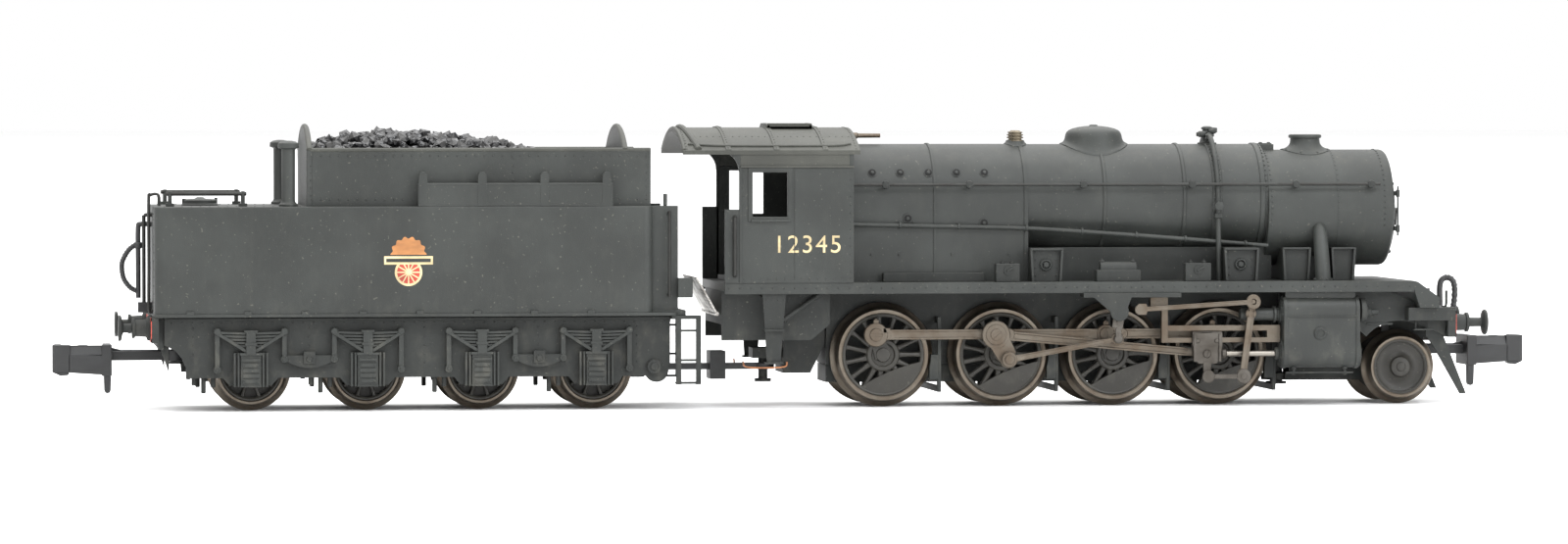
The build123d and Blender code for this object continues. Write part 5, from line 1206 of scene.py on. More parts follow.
def cylinder_pieces():
    x0, x1 = 45.9, 53.6
    casing, covers, studs_all, cocks = [], [], [], []
    casing.append(prism_x(cylinder_outline(-0.04), x0 + 0.35, x1 - 0.35))
    for a, b in ((x0 + 0.12, x0 + 0.5), (x1 - 0.5, x1 - 0.12)):
        casing.append(prism_x(cylinder_outline(0.05), a, b))
    casing.append(slab((x0 + 0.4, 6.4, 10.2), (x1 - 0.4, 8.4, 11.2)))
    casing.append(slab((x0 + 1.2, 3.4, 6.4), (x1 - 1.2, 6.5, 11.1)))
    for y, z, r, ends in ((7.75, CYLINDER_Z, 1.4, (x0, x1)), (7.98, 9.15, 1.16, (x0 + 0.1, x1 + 0.6))):
        for x, s in ((ends[0], -1), (ends[1], 1)):
            profile = [(0, x - s * 0.5), (r, x - s * 0.5), (r, x - s * 0.05), (r - 0.08, x + s * 0.04), (r * 0.66, x + s * 0.06)]
            profile += [(r * 0.6, x + s * 0.14), (r * 0.3, x + s * 0.2), (0, x + s * 0.22)]
            covers.append(lathe(profile, (0, y, z), "x", 48))
            t = circle(10, 0.3)
            ring = np.stack([np.full(10, x + s * 0.03), y + 0.82 * r * np.cos(t), z + 0.82 * r * np.sin(t)], -1)
            studs_all.append(studs(ring, (s, 0, 0), 0.1, 0.1, 6))
    covers.append(lathe([(0, x1 + 0.7), (0.42, x1 + 0.7), (0.42, x1 + 1.1), (0.3, x1 + 1.2), (0.26, x1 + 1.9), (0.15, x1 + 1.98), (0, x1 + 1.98)], (0, 7.98, 9.0), "x", 24))
    covers.append(lathe([(0.28, x0 - 0.5), (0.55, x0 - 0.5), (0.6, x0 - 0.4), (0.6, x0), (0.28, x0), (0.28, x0 - 0.5)], (0, 7.75, CYLINDER_Z), "x", 24))
    guide = []
    barrel = [(0, 42.0), (0.5, 42.0), (0.6, 42.12), (0.6, 45.2), (0.8, 45.25), (0.8, 45.5), (0.62, 45.55), (0.62, 45.75), (0.86, 45.8), (0.86, 46.2), (0, 46.2)]
    guide.append(lathe(barrel, (0, 7.62, 8.8), "x", 32))
    for x in (47.2, 52.2):
        cocks += [stem((x, 8.1, 3.75), (0, 0, -1), [(0.26, 0), (0.26, 0.2), (0.16, 0.24), (0.16, 0.62), (0.24, 0.66), (0.1, 0.8)], 12)]
    cocks.append(rod((46.4, 8.25, 3.2), (53.0, 8.25, 3.2), 0.09, 8))
    edge = [row((x, 9.19, 5.9), (x, 9.21, 9.2), 0.55) for x in (x0 + 0.31, x1 - 0.31)]
    studs_all.append(studs(np.concatenate(edge), (0, 1, 0), 0.08, 0.05, 6))
    covers.append(lathe([(0, 9.1), (0.62, 9.1), (0.62, 9.26), (0.5, 9.34), (0.36, 9.34), (0.32, 9.28), (0, 9.28)], (49.6, 0, 7.0), "y", 32))
    covers.append(slab((x0 + 0.3, 9.14, 8.55), (x1 - 0.3, 9.26, 8.68)))
    put("cylinder_casings", both(join(*casing)), "engine", FINISHES["cylinder"], ("cylinders",), 0.05, 30)
    put("cylinder_covers", both(join(*covers, *cocks)), "engine", FINISHES["frame"], (), 0.0, 35)
    put("cylinder_studs", both(join(*studs_all)), "engine", FINISHES["frame"])
    put("valve_guides", both(join(*guide)), "engine", FINISHES["cylinder"], (), 0.04)


def front_pieces():
    hoses, irons = [], []
    bend = smooth_path([(63.7, 2.2, 7.6), (64.0, 2.2, 9.0), (64.0, 2.2, 11.0), (64.2, 2.2, 11.75), (64.75, 2.2, 12.0), (65.3, 2.2, 11.7), (65.5, 2.2, 10.9), (65.45, 2.2, 9.7), (65.3, 2.2, 8.9)], 8)
    ribs = 0.29 + 0.035 * np.sin(np.linspace(0, 110, len(bend))) * (np.arange(len(bend)) > len(bend) * 0.45)
    hoses.append(tube(bend, ribs, 16))
    hoses += [rod((65.3, 2.2, 8.95), (65.28, 2.2, 8.6), 0.36, 12), slab((63.1, 1.9, 7.7), (64.1, 2.5, 8.1))]
    for y in (-6.8, 0.6, 6.8):
        irons.append(flat_bar([(62.1, 9.43), (62.45, 9.5), (62.5, 9.8), (62.5, 11.0)], y - 0.24, y + 0.24, 0.16))
    put("brake_hose_front", join(*hoses), "engine", FINISHES["hose"], ("front_fittings",))
    put("lamp_irons", join(*irons), "engine", FINISHES["frame"], (), 0.02)
    arch = arc((57.9, 3.75), 4.35, 140, 62, 14)
    apron = [(53.4, 11.0), (53.4, 7.6), (54.55, 6.6)] + [tuple(p) for p in arch] + [(62.9, 7.3), (62.9, 9.0), (60.6, 9.35), (57.6, 10.7), (56.4, 11.0)]
    ribs = [eye((55.3, 8.9), 6.9, 7.05, 0.3, steps=16), slab((54.6, 6.88, 7.7), (57.2, 7.0, 7.9))]
    put("front_side_plates", both(join(plate(apron, 6.55, 6.9), *ribs)), "engine", FINISHES["frame"], (), 0.03)
    steps = both(join(slab((59.0, 7.6, 7.2), (60.8, 8.3, 7.35)), slab((59.2, 7.7, 7.3), (59.35, 7.85, 8.2)), slab((60.45, 7.7, 7.3), (60.6, 7.85, 8.2))))
    put("front_steps", steps, "engine", FINISHES["frame"], (), 0.03)


def flat_plan(outline, z0, z1):
    """An outline in X and Y carried upwards."""
    points, faces = plate(outline, z0, z1)
    return points[:, [0, 2, 1]], [face[::-1] for face in faces]


def coupler_piece(name, s, tall):
    """Moulded coupler: ringed shank, cross bar with a rounded tail, side arm with a chamfered top
    and a wedge-nosed hook. Lengths run outwards from the pivot."""
    x = pivot(f"{name}_swing")[0]
    z0, z1 = 4.55, 5.65
    low, high = tall
    ring = lathe([(0.55, z0), (0.94, z0), (1.0, z0 + 0.08), (1.0, z1 - 0.08), (0.94, z1), (0.55, z1), (0.55, z0)], (x, 0, 0), "z", 32)

    def out(*pairs):
        return [(x + s * a, b) for a, b in pairs]

    shank = flat_plan(out((0.7, -0.45), (5.9, -0.7), (6.3, -0.7), (6.3, 0.7), (5.9, 0.7), (0.7, 0.45)), z0 + 0.1, z1 - 0.1)
    rib = plate(out((0.9, z1 - 0.2), (6.2, z1 - 0.2), (6.2, z1 + 0.25), (5.2, z1), (0.9, z1)), -0.22, 0.22)
    bar = flat_plan(out((6.1, -2.4), (7.05, -2.4), (7.05, -1.6), (6.9, -1.4), (6.9, 2.2), (6.75, 2.4), (6.1, 2.4)), low, high)
    tail = plate(out((6.15, low + 0.4), (6.2, 1.9), (6.3, 1.66), (6.5, 1.6), (6.72, 1.66), (6.82, 1.9), (6.88, low + 0.4)), -2.2, -1.4)
    side = plate(out((6.9, low + 0.1), (10.2, low + 0.32), (10.2, high - 0.05), (6.9, high - 0.05)), -2.05, -1.5)
    face = plate(out((6.9, low + 0.12), (10.2, low + 0.34), (10.2, high - 0.85), (6.9, high - 1.0)), -2.4, -1.95)
    slope = prism_x([(-2.4, high - 0.95), (-2.0, high - 0.95), (-1.6, high - 0.08), (-2.0, high - 0.08)], *sorted((x + s * 6.95, x + s * 10.1)))
    head = flat_plan(out((10.0, -2.4), (11.45, -2.4), (11.7, -2.15), (11.7, -1.2), (11.45, 1.1), (11.2, 1.2), (10.85, 1.1), (10.7, -1.0), (10.0, -1.5)), low + 0.35, high)
    nose = plate(out((10.1, low + 0.36), (11.66, low + 0.36), (10.9, low + 0.02), (10.2, low + 0.1)), -2.36, -1.3)
    catch = plate(out((8.3, high - 0.15), (8.4, high), (9.2, high), (9.6, high - 0.15)), -1.95, -1.55)
    parts = join(ring, shank, rib, bar, tail, side, face, slope, head, nose, catch)
    put(f"{name}_moulding", parts, name, FINISHES["coupler"], (name,), 0.07, 30)


def buffer_pieces():
    for name, body, root, face, s in (("front", "engine", 63.1, 66.7, 1), ("rear", "tender", -62.1, -65.2, -1)):
        profile = [(0, root), (1.18, root), (1.18, root + s * 0.28), (1.08, root + s * 0.36), (0.84, root + s * 0.44), (0.78, root + s * 1.45)]
        profile += [(0.94, root + s * 1.5), (0.96, root + s * 1.72), (0.86, root + s * 1.78), (0.45, root + s * 1.8), (0.43, face - s * 0.55)]
        profile += [(0.6, face - s * 0.45), (1.14, face - s * 0.34), (1.24, face - s * 0.2), (1.18, face - s * 0.06), (0.7, face - s * 0.01), (0, face)]
        replaced = ("tender_buffers",) if s < 0 else ()
        put(f"buffers_{name}", both(lathe(profile, (0, 5.83, 7.9), "x", 48)), body, FINISHES["frame"], replaced, 0.0, 35)
        corners = [(root + s * 0.0, 5.83 + a, 7.9 + b) for a in (-0.95, 0.95) for b in (-0.95, 0.95)]
        put(f"buffer_bolts_{name}", both(studs(corners, (s, 0, 0), 0.14, 0.12, 6)), body, FINISHES["frame"])
    coupler_piece("coupler_front", 1, (3.6, 6.5))
    coupler_piece("coupler_rear", -1, (3.25, 6.2))


# ------------------------------------------------------------------ tender
def rounded_box(low, high, radius, edge, steps=8):
    """Box with round upright corners and softly rounded top and bottom edges: rounded-rectangle
    rings that draw in by a quarter circle at both ends."""
    t = np.concatenate([np.linspace(q, q + 90, steps) for q in (0, 90, 180, 270)])
    sx = np.repeat([1, -1, -1, 1], steps) * ((high[0] - low[0]) / 2 - radius)
    sy = np.repeat([1, 1, -1, -1], steps) * ((high[1] - low[1]) / 2 - radius)
    cx, cy = (low[0] + high[0]) / 2, (low[1] + high[1]) / 2
    q = np.radians(np.linspace(0, 90, 5))
    inset = [edge * (1 - math.sin(a)) for a in q] + [edge * (1 - math.sin(a)) for a in q[::-1]]
    z = [low[2] + edge * (1 - math.cos(a)) for a in q] + [high[2] - edge * (1 - math.cos(a)) for a in q[::-1]]
    points = [[(cx + x + (radius - d) * math.cos(a), cy + y + (radius - d) * math.sin(a), h) for x, y, a in zip(sx, sy, np.radians(t))] for d, h in zip(inset, z)]
    return grid(np.array(points), around=True, caps=True)


TANK_LOW, TANK_TOP, TANK_HALF = 8.95, 19.35, 8.8
TANK_ENDS = (-61.85, -14.75)


class TenderSettings(bpy.types.PropertyGroup):
    coal_size: bpy.props.FloatProperty(name="Coal size", description="Mean radius of a lump of coal, in mm", default=0.72)
    coal_count: bpy.props.IntProperty(name="Coal lumps", description="Lumps on the heap", default=900, min=50)
    leaves: bpy.props.IntProperty(name="Spring leaves", description="Leaves in each bearing spring", default=6, min=3)


def tank_pieces():
    x0, x1 = TANK_ENDS
    tank = rounded_box((x0, -TANK_HALF, TANK_LOW), (x1, TANK_HALF, TANK_TOP), 0.9, 0.16)
    put("tank_shell", tank, "tender", FINISHES["body"], ("tender_tank",), 0.0, 30)
    parts = [rounded_box((x0 - 0.05, -8.95, TANK_LOW), (-12.4, 8.95, TANK_LOW + 0.3), 0.9, 0.06)]
    clips = []
    for side in (NEAR, FAR):
        for x in np.arange(-58.5, -15.5, 5.4):
            clips.append(slab((x - 0.35, min(side * 8.7, side * 8.98), TANK_LOW + 0.22), (x + 0.35, max(side * 8.7, side * 8.98), TANK_LOW + 0.55)))
        for y0, y1, xa, xb, za, zb in ((7.2, 7.6, x1, -12.3, TANK_LOW, TANK_TOP), (7.2, 8.6, -12.4, -11.0, 10.65, 12.5)):
            parts.append(sided(slab((xa, y0, za), (xb, y1, zb)), side))
    parts.append(slab((x1 - 0.2, -8.0, TANK_LOW), (-11.6, 8.0, TANK_LOW + 0.5)))
    parts.append(slab((x1 - 0.1, -6.2, TANK_LOW + 0.5), (x1 + 0.12, 6.2, TANK_TOP - 1.0)))
    put("tank_ledges", join(*parts, *clips), "tender", FINISHES["body"], (), 0.05)
    y = np.linspace(-6.9, 6.9, 16)
    rivets = [studs(np.stack([np.full(16, x0), y, np.full(16, z)], -1), (-1, 0, 0), 0.09, 0.05, 6) for z in (TANK_TOP - 0.7, TANK_LOW + 0.9)]
    for yy in (-7.4, 7.4):
        rivets.append(studs(row((x0, yy, TANK_LOW + 1.4), (x0, yy, TANK_TOP - 1.2), 0.8), (-1, 0, 0), 0.09, 0.05, 6))
    top = [row((-60.9, s * 8.3, TANK_TOP), (-38.0, s * 8.3, TANK_TOP), 0.85) for s in (NEAR, FAR)]
    rivets.append(studs(np.concatenate(top), (0, 0, 1), 0.09, 0.05, 6))
    put("tank_rivets", join(*rivets), "tender", FINISHES["body"])

    low, high = -47.5, -14.9
    sides = [sided(slab((low, 7.2, TANK_TOP - 0.1), (high, 7.6, 24.65)), s) for s in (NEAR, FAR)]
    beads = [rod((low + 0.1, s * 7.45, 24.66), (high, s * 7.45, 24.66), 0.2, 12) for s in (NEAR, FAR)]
    y = np.linspace(-7.6, 7.6, 41)
    crown = 24.65 + 2.2 * (1 - (y / 7.6) ** 2) ** 0.95
    outline = np.concatenate([[(7.6, TANK_TOP - 0.1)], np.stack([y, crown], -1)[::-1], [(-7.6, TANK_TOP - 0.1)]])
    ends = [prism_x(outline, x, x + 0.5) for x in (low, -17.6)]
    trim = [tube(np.stack([np.full(41, x + 0.25), y, crown], -1), 0.28, 10) for x in (low, -17.6)]
    put("bunker_sheets", join(*sides, *ends), "tender", FINISHES["body"], (), 0.06)
    put("bunker_beading", join(*beads, *trim), "tender", FINISHES["roof"], (), 0.0)
    seams = []
    for s in (NEAR, FAR):
        for z in (20.0, 24.1):
            seams.append(studs(row((low + 0.5, s * 7.6, z), (high - 0.4, s * 7.6, z), 0.85), (0, s, 0), 0.085, 0.05, 6))
        for x in (low + 0.4, -28.0, high - 0.4):
            seams.append(studs(row((x, s * 7.6, 20.4), (x, s * 7.6, 23.9), 0.7), (0, s, 0), 0.085, 0.05, 6))
    put("bunker_rivets", join(*seams), "tender", FINISHES["body"])
    trays = []
    for s in (NEAR, FAR):
        trays.append(sided(slab((-37.1, 7.5, TANK_TOP), (-18.6, 8.7, TANK_TOP + 0.25)), s))
        trays.append(sided(slab((-37.1, 8.5, TANK_TOP), (-18.6, 8.7, 21.4)), s))
        trays.append(rod((-37.1, s * 8.6, 21.42), (-18.6, s * 8.6, 21.42), 0.14, 10))
        for x in (-36.6, -31.0, -25.1, -19.2):
            post = [(x - 0.45, TANK_TOP), (x + 0.45, TANK_TOP), (x + 0.4, 22.3), (x + 0.2, 22.6), (x - 0.2, 22.6), (x - 0.4, 22.3)]
            trays.append(sided(plate(post, 8.3, 8.72), s))
        for a, b, y, z in ((-36.8, -19.4, 8.05, 20.1), (-35.9, -18.9, 8.3, 20.35), (-36.4, -20.0, 7.85, 20.55)):
            trays.append(rod((a, s * y, z), (b, s * y, z + 0.1), 0.13, 8))
    put("fire_iron_trays", join(*trays), "tender", FINISHES["body"], (), 0.03)


def coal_piece(settings):
    """Seeded lumps over a mound: each is a squashed, jittered twelve-point solid with twenty faces."""
    random = np.random.default_rng(41)
    g = (1 + 5**0.5) / 2
    base = np.array([(-1, g, 0), (1, g, 0), (-1, -g, 0), (1, -g, 0), (0, -1, g), (0, 1, g), (0, -1, -g), (0, 1, -g), (g, 0, -1), (g, 0, 1), (-g, 0, -1), (-g, 0, 1)], float) / 1.9
    faces = [(0, 11, 5), (0, 5, 1), (0, 1, 7), (0, 7, 10), (0, 10, 11), (1, 5, 9), (5, 11, 4), (11, 10, 2), (10, 7, 6), (7, 1, 8), (3, 9, 4), (3, 4, 2), (3, 2, 6), (3, 6, 8), (3, 8, 9), (4, 9, 5), (2, 4, 11), (6, 2, 10), (8, 6, 7), (9, 8, 1)]
    n = settings.coal_count
    x = random.uniform(-46.6, -17.9, n)
    y = random.uniform(-6.7, 6.7, n)
    size = settings.coal_size * random.uniform(0.55, 1.35, n)
    long = np.clip(1 - ((x + 39.0) / np.where(x < -39, 13.0, 17.0)) ** 2, 0, 1)
    height = 22.9 + 3.1 * long**0.8 * np.clip(1 - (np.abs(y) / 7.6) ** 2.2, 0, 1)
    height = np.minimum(height, 26.35) + random.uniform(-0.55, 0.1, n)
    centre = np.stack([x, y, height], axis=-1)
    quaternion = random.normal(size=(n, 4))
    quaternion /= np.linalg.norm(quaternion, axis=1, keepdims=True)
    w, a, b, c = quaternion.T
    turn = np.stack([1 - 2 * (b * b + c * c), 2 * (a * b - c * w), 2 * (a * c + b * w), 2 * (a * b + c * w), 1 - 2 * (a * a + c * c), 2 * (b * c - a * w), 2 * (a * c - b * w), 2 * (b * c + a * w), 1 - 2 * (a * a + b * b)], -1).reshape(n, 3, 3)
    lump = base * random.uniform(0.62, 1.2, (n, 12, 3)) * random.uniform(0.6, 1.15, (n, 1, 3))
    points = np.einsum("nij,nkj->nki", turn, lump * size[:, None, None]) + centre[:, None, :]
    points[..., 1] = np.clip(points[..., 1], -7.15, 7.15)
    points[..., 0] = np.clip(points[..., 0], -46.95, -17.65)
    index = (np.array(faces)[None] + 12 * np.arange(n)[:, None, None]).reshape(-1, 3)
    gx, gy = np.meshgrid(np.linspace(-46.95, -17.65, 30), np.linspace(-7.15, 7.15, 16), indexing="ij")
    along = np.clip(1 - ((gx + 39.0) / np.where(gx < -39, 13.0, 17.0)) ** 2, 0, 1)
    gz = 22.3 + 3.0 * along**0.8 * np.clip(1 - (np.abs(gy) / 7.6) ** 2.2, 0, 1)
    bed = grid(np.stack([gx, gy, gz], -1))
    put("coal_bed", bed, "tender", FINISHES["coal"], (), 0.0, 20)
    put("coal_lumps", (points.reshape(-1, 3), index.tolist()), "tender", FINISHES["coal"], ("coal_load",), 0.0, 5)


def spring(x, leaves):
    """Laminated spring: a straight top leaf between the hangers, shorter leaves under it, and the
    pack's stepped sides falling in two slopes to the buckle."""
    shapes = []
    for i in range(leaves):
        half = 3.15 - 2.4 * i / max(1, leaves - 1)
        s = np.linspace(-half, half, 9)
        z = 7.42 + 0.1 * (s / 3.15) ** 2 - 0.3 * i
        shapes.append(flat_bar(np.stack([x + s, z], -1), 7.75, 8.3 - 0.02 * i, 0.22))
    for s in (-1, 1):
        slope = np.stack([x + s * np.linspace(3.15, 0.45, 9), np.linspace(7.45, 5.75, 9)], -1)
        shapes.append(flat_bar(slope if s < 0 else slope[::-1], 7.8, 8.38, 0.3))
    shapes += [slab((x - 0.45, 7.75, 5.45), (x + 0.45, 8.5, 7.62)), slab((x - 0.62, 7.75, 7.5), (x + 0.62, 8.52, 7.72))]
    shapes.append(slab((x - 0.56, 7.75, 6.3), (x + 0.56, 8.56, 6.55)))
    return join(*shapes)


def axlebox(x):
    """Axlebox: horn guides and ribs at both sides, a raised cover with cross lines, cap and bolts."""
    parts = [slab((x - 1.62, 7.45, 2.42), (x + 1.62, 7.85, 5.58)), slab((x - 0.95, 7.8, 2.6), (x + 0.95, 8.3, 5.5))]
    parts += [slab((x + a - 0.09, 7.8, 2.4), (x + a + 0.09, 8.3, 5.6)) for a in (-1.52, -1.16, 1.16, 1.52)]
    parts += [slab((x - 0.78, 8.25, 2.75 + 0.5 * i), (x + 0.78, 8.42, 3.1 + 0.5 * i)) for i in range(4)]
    parts += [slab((x - 1.05, 7.8, 5.35), (x + 1.05, 8.45, 5.6)), slab((x - 0.86, 8.25, 4.8), (x + 0.86, 8.5, 5.05))]
    parts += [slab((x - 1.0, 7.8, 2.36), (x + 1.0, 8.2, 2.62))]
    parts.append(studs([(x + a, 8.42, z) for a in (-0.6, 0.6) for z in (2.92, 4.42)], (0, 1, 0), 0.12, 0.07, 6))
    return join(*parts)


def tender_frame_pieces(settings):
    outline = [(-58.75, 3.2), (-56.0, 3.2)]
    for x in (-52.8, -41.8, -31.0, -20.15):
        outline += [(x - 2.6, 3.2), (x - 2.0, 2.5), (x + 2.0, 2.5), (x + 2.6, 3.2)]
    outline += [(-15.3, 3.2)] + [tuple(p) for p in arc((-14.35, 3.75), 1.15, 200, 340, 10)]
    outline += [(-13.05, 4.4), (-13.05, TANK_LOW), (-60.9, TANK_LOW), (-60.9, 6.3), (-60.5, 6.15), (-59.8, 5.75), (-59.2, 5.0), (-58.85, 4.2)]
    parts, springs, boxes, rivets = [plate(outline, 7.15, 7.5)], [], [], []
    for x, direction in ((-52.8, 1), (-41.8, -1), (-31.0, 1), (-20.15, -1)):
        springs.append(spring(x, settings.leaves))
        for step, tip in ((-3.5, 2.3), (-4.4, 1.75), (-5.3, 2.5)):
            if x < -40 or step > -5:
                parts.append(rod((x + step, 6.7, 3.6), (x + step, 6.7, tip), 0.24, 10))
        boxes.append(axlebox(x))
        for s in (-1, 1):
            hx = x + s * 3.15
            foot = 5.0 if s * direction > 0 else 4.0
            springs.append(slab((hx - 0.22, 7.5, foot), (hx + 0.22, 8.2, 7.6)))
            springs += [eye((hx, 7.6), 7.5, 8.42, 0.34), eye((hx, foot), 7.5, 8.3, 0.36), eye((hx, foot), 8.25, 8.4, 0.16, steps=12)]
    for a, b in ((-52.8, -41.8), (-31.0, -20.15)):
        s = np.linspace(0, 1, 13)
        depth = 0.45 + 0.75 * np.sin(np.pi * s)
        beam = np.stack([a + 3.1 + (b - a - 6.2) * s, 5.35 - depth / 2], -1)
        parts.append(flat_bar(beam, 7.5, 8.15, depth))
        mid = (a + b) / 2
        parts += [slab((mid - 0.55, 7.4, 4.55), (mid + 0.55, 8.3, 5.7)), eye((mid, 5.0), 8.25, 8.42, 0.3)]
    parts += [eye((-14.6, 4.1), 7.45, 8.0, 0.7), eye((-14.6, 4.1), 7.95, 8.15, 0.38)]
    rivets.append(studs(row((-60.2, 7.5, 8.4), (-13.6, 7.5, 8.4), 0.95), (0, 1, 0), 0.09, 0.055, 6))
    parts.append(slab((-60.6, 7.4, 8.62), (-13.1, 7.75, 8.82)))
    for x in (-58.2, -47.3, -36.4, -25.6, -16.2):
        rivets.append(studs(row((x, 7.5, 4.6), (x, 7.5, 7.9), 0.8), (0, 1, 0), 0.09, 0.055, 6))
    put("tender_side_frames", both(join(*parts)), "tender", FINISHES["frame"], ("tender_frames",), 0.05)
    put("bearing_springs", both(join(*springs)), "tender", FINISHES["springs"], (), 0.025)
    put("axleboxes", both(join(*boxes)), "tender", FINISHES["springs"], (), 0.04)
    put("side_frame_rivets", both(join(*rivets)), "tender", FINISHES["frame"])
    for node in ("tender_floor", "tender_bearings", "tender_steps"):
        softened(node, "tender", FINISHES["frame"], 0.05)
    softened("tender_beam", "tender", FINISHES["frame"], 0.06)
    red = [slab((-62.16, -8.38, a), (-62.08, 8.38, b)) for a, b in ((6.6, 6.95), (8.6, 8.92))]
    red += [slab((-62.16, y, 6.6), (-62.08, y + 0.4, 8.92)) for y in (-8.38, 7.98)]
    put("tender_beam_red_edge", join(*red), "tender", FINISHES["red"])


def tender_fitting_pieces():
    top = TANK_TOP
    body, wires = [], []
    for s in (NEAR, FAR):
        vent = [(0, top), (0.9, top), (0.9, top + 0.2), (0.72, top + 0.34), (0.64, top + 0.5), (0.64, 24.7), (0.76, 24.8), (0.98, 24.86), (1.0, 25.0), (0.96, 25.3), (0.7, 25.46), (0.3, 25.54), (0, 25.55)]
        body.append(lathe(vent, (-49.2, s * 7.2, 0), "z", 32))
        for x in (-60.3, -53.45):
            body.append(slab((x - 0.4, s * 6.6 - 0.35, top), (x + 0.4, s * 6.6 + 0.35, top + 0.3)))
            body.append(rod((x, s * 6.6, top + 0.1), (x, s * 6.6, 20.8), 0.2, 12))
        wires.append(rod((-60.7, s * 6.6, 20.55), (-53.1, s * 6.6, 20.55), 0.2, 14))
        rail = smooth_path([(-13.2, s * 7.7, 10.9), (-13.2, s * 8.25, 10.95), (-13.2, s * 8.35, 11.3), (-13.2, s * 8.35, 18.2), (-13.2, s * 8.25, 18.6), (-13.2, s * 7.7, 18.65)], 6)
        wires.append(tube(rail, 0.14, 12))
        body.append(rod((-13.5, s * 7.35, top), (-13.5, s * 7.35, 20.5), 0.2, 12))
    body.append(lathe([(0, top), (1.75, top), (1.75, top + 0.12), (1.6, top + 0.2), (1.6, 19.85), (1.45, 19.95), (0.5, 20.02), (0.3, 20.15), (0, 20.16)], (-57.2, 0, 0), "z", 48))
    body += [slab((-58.9, -0.25, top), (-58.5, 0.25, 20.0)), rod((-55.7, 0, top), (-55.7, 0, 20.1), 0.16, 10)]
    put("tank_top_fittings", join(*body), "tender", FINISHES["body"], ("tender_fittings",), 0.02, 35)
    x = TANK_ENDS[0]
    for y in (-4.9, -3.3):
        curve = smooth_path([(x, y, 9.5), (x - 0.35, y, 9.7), (x - 0.35, y, 14.0), (x - 0.35, y, 19.9), (x - 0.2, y, 20.4), (x + 0.4, y, 20.5), (x + 0.6, y, 20.2), (x + 0.6, y, 19.4)], 6)
        wires.append(tube(curve, 0.13, 10))
    wires += [rod((x - 0.35, -4.95, 10.6 + 1.6 * i), (x - 0.35, -3.25, 10.6 + 1.6 * i), 0.13, 10) for i in range(6)]
    wires.append(tube(smooth_path([(x, -2.2, 18.5), (x - 0.7, -2.2, 18.45), (x - 0.75, -2.2, 17.9), (x - 0.75, -2.2, 13.0), (x - 0.75, -2.2, 9.4)], 6), 0.18, 12))
    put("tender_wires", join(*wires), "tender", FINISHES["wire"])
    pipe = tube(smooth_path([(x, -1.0, 17.6), (x - 1.0, -1.0, 17.6), (x - 1.25, -1.0, 17.2), (x - 1.25, -1.0, 14.0), (x - 1.25, -1.0, 10.6)], 6), 0.24, 14)
    route = smooth_path([(x - 1.25, -1.0, 15.8), (x - 2.1, -1.0, 15.2), (x - 2.7, -1.0, 14.2), (x - 2.8, -1.0, 13.4), (x - 2.6, -1.0, 12.4), (x - 2.0, -1.0, 11.6), (x - 1.25, -1.0, 11.2)], 10)
    ribs = 0.24 + 0.035 * np.sin(np.linspace(0, 150, len(route)))
    parts = [pipe, tube(route, ribs, 14), slab((x - 1.3, -2.4, 9.25), (x, -0.4, 10.2))]
    parts.append(rod((x - 1.25, -1.0, 15.3), (x - 1.25, -1.0, 15.9), 0.42, 14))
    put("brake_hose_rear", join(*parts), "tender", FINISHES["hose"], (), 0.0)


# ------------------------------------------------------------------ parts kept as they are
def keep_with_finish(node, finish):
    """Give a frame part its finish; its mesh and place stay as they are."""
    target = frame["nodes"][node]
    if not target.material_slots:
        target.data.materials.append(FINISHES[finish])
    for slot in target.material_slots:
        slot.material = FINISHES[finish]


# ------------------------------------------------------------------ operators
class FinishSettings(bpy.types.PropertyGroup):
    body: bpy.props.FloatVectorProperty(
        name="Body paint", description="Base tone of the weathered body paint", subtype="COLOR", default=(0.0265, 0.029, 0.027), min=0, max=1
    )
    dust: bpy.props.FloatVectorProperty(
        name="Dust", description="Tone of the dust and rain streaks", subtype="COLOR", default=(0.11, 0.106, 0.088), min=0, max=1
    )
    nickel: bpy.props.FloatVectorProperty(
        name="Nickel", description="Tone of tyres and rods", subtype="COLOR", default=(0.14, 0.121, 0.098), min=0, max=1
    )
    stain: bpy.props.FloatVectorProperty(
        name="Stain", description="Brownish stain on the metal", subtype="COLOR", default=(0.085, 0.063, 0.045), min=0, max=1
    )
    roof: bpy.props.FloatVectorProperty(
        name="Roof paint", description="Base tone of the cab roof", subtype="COLOR", default=(0.042, 0.043, 0.037), min=0, max=1
    )


class StageSettings(bpy.types.PropertyGroup):
    light: bpy.props.FloatProperty(name="Light", description="Factor on the strength of all lamps", default=1.0, min=0.1)
    floor: bpy.props.FloatVectorProperty(
        name="Floor", description="Tone of the floor", subtype="COLOR", default=(0.96, 0.96, 0.96), min=0, max=1
    )


class LOCO_OT_finishes(bpy.types.Operator):
    """Make the paints, metals and plastics, and give them to the frame parts that stay as they are"""
    bl_idname = "loco.finishes"
    bl_label = "Finishes"

    def execute(self, context):
        make_finishes(context.scene.loco_finish)
        for node, finish in (("chassis", "frame"), ("keeper_plate", "frame"), ("motor", "bright"), ("worm_shaft", "brass")):
            keep_with_finish(node, finish)
        return {"FINISHED"}


class LOCO_OT_wheels(bpy.types.Operator):
    """Driving, leading and tender wheels with tyres, spokes, balance weights and crank pins"""
    bl_idname = "loco.wheels"
    bl_label = "Wheels"

    def execute(self, context):
        settings = context.scene.loco_wheels
        for number in (1, 2, 3, 4):
            driver_pieces(number, settings)
            carrying_pieces(f"tender_wheelset_{number}", f"tender_wheelset_{number}_spin", settings.tender_spokes)
        carrying_pieces("pony_wheelset", "pony_spin", 0)
        return {"FINISHED"}


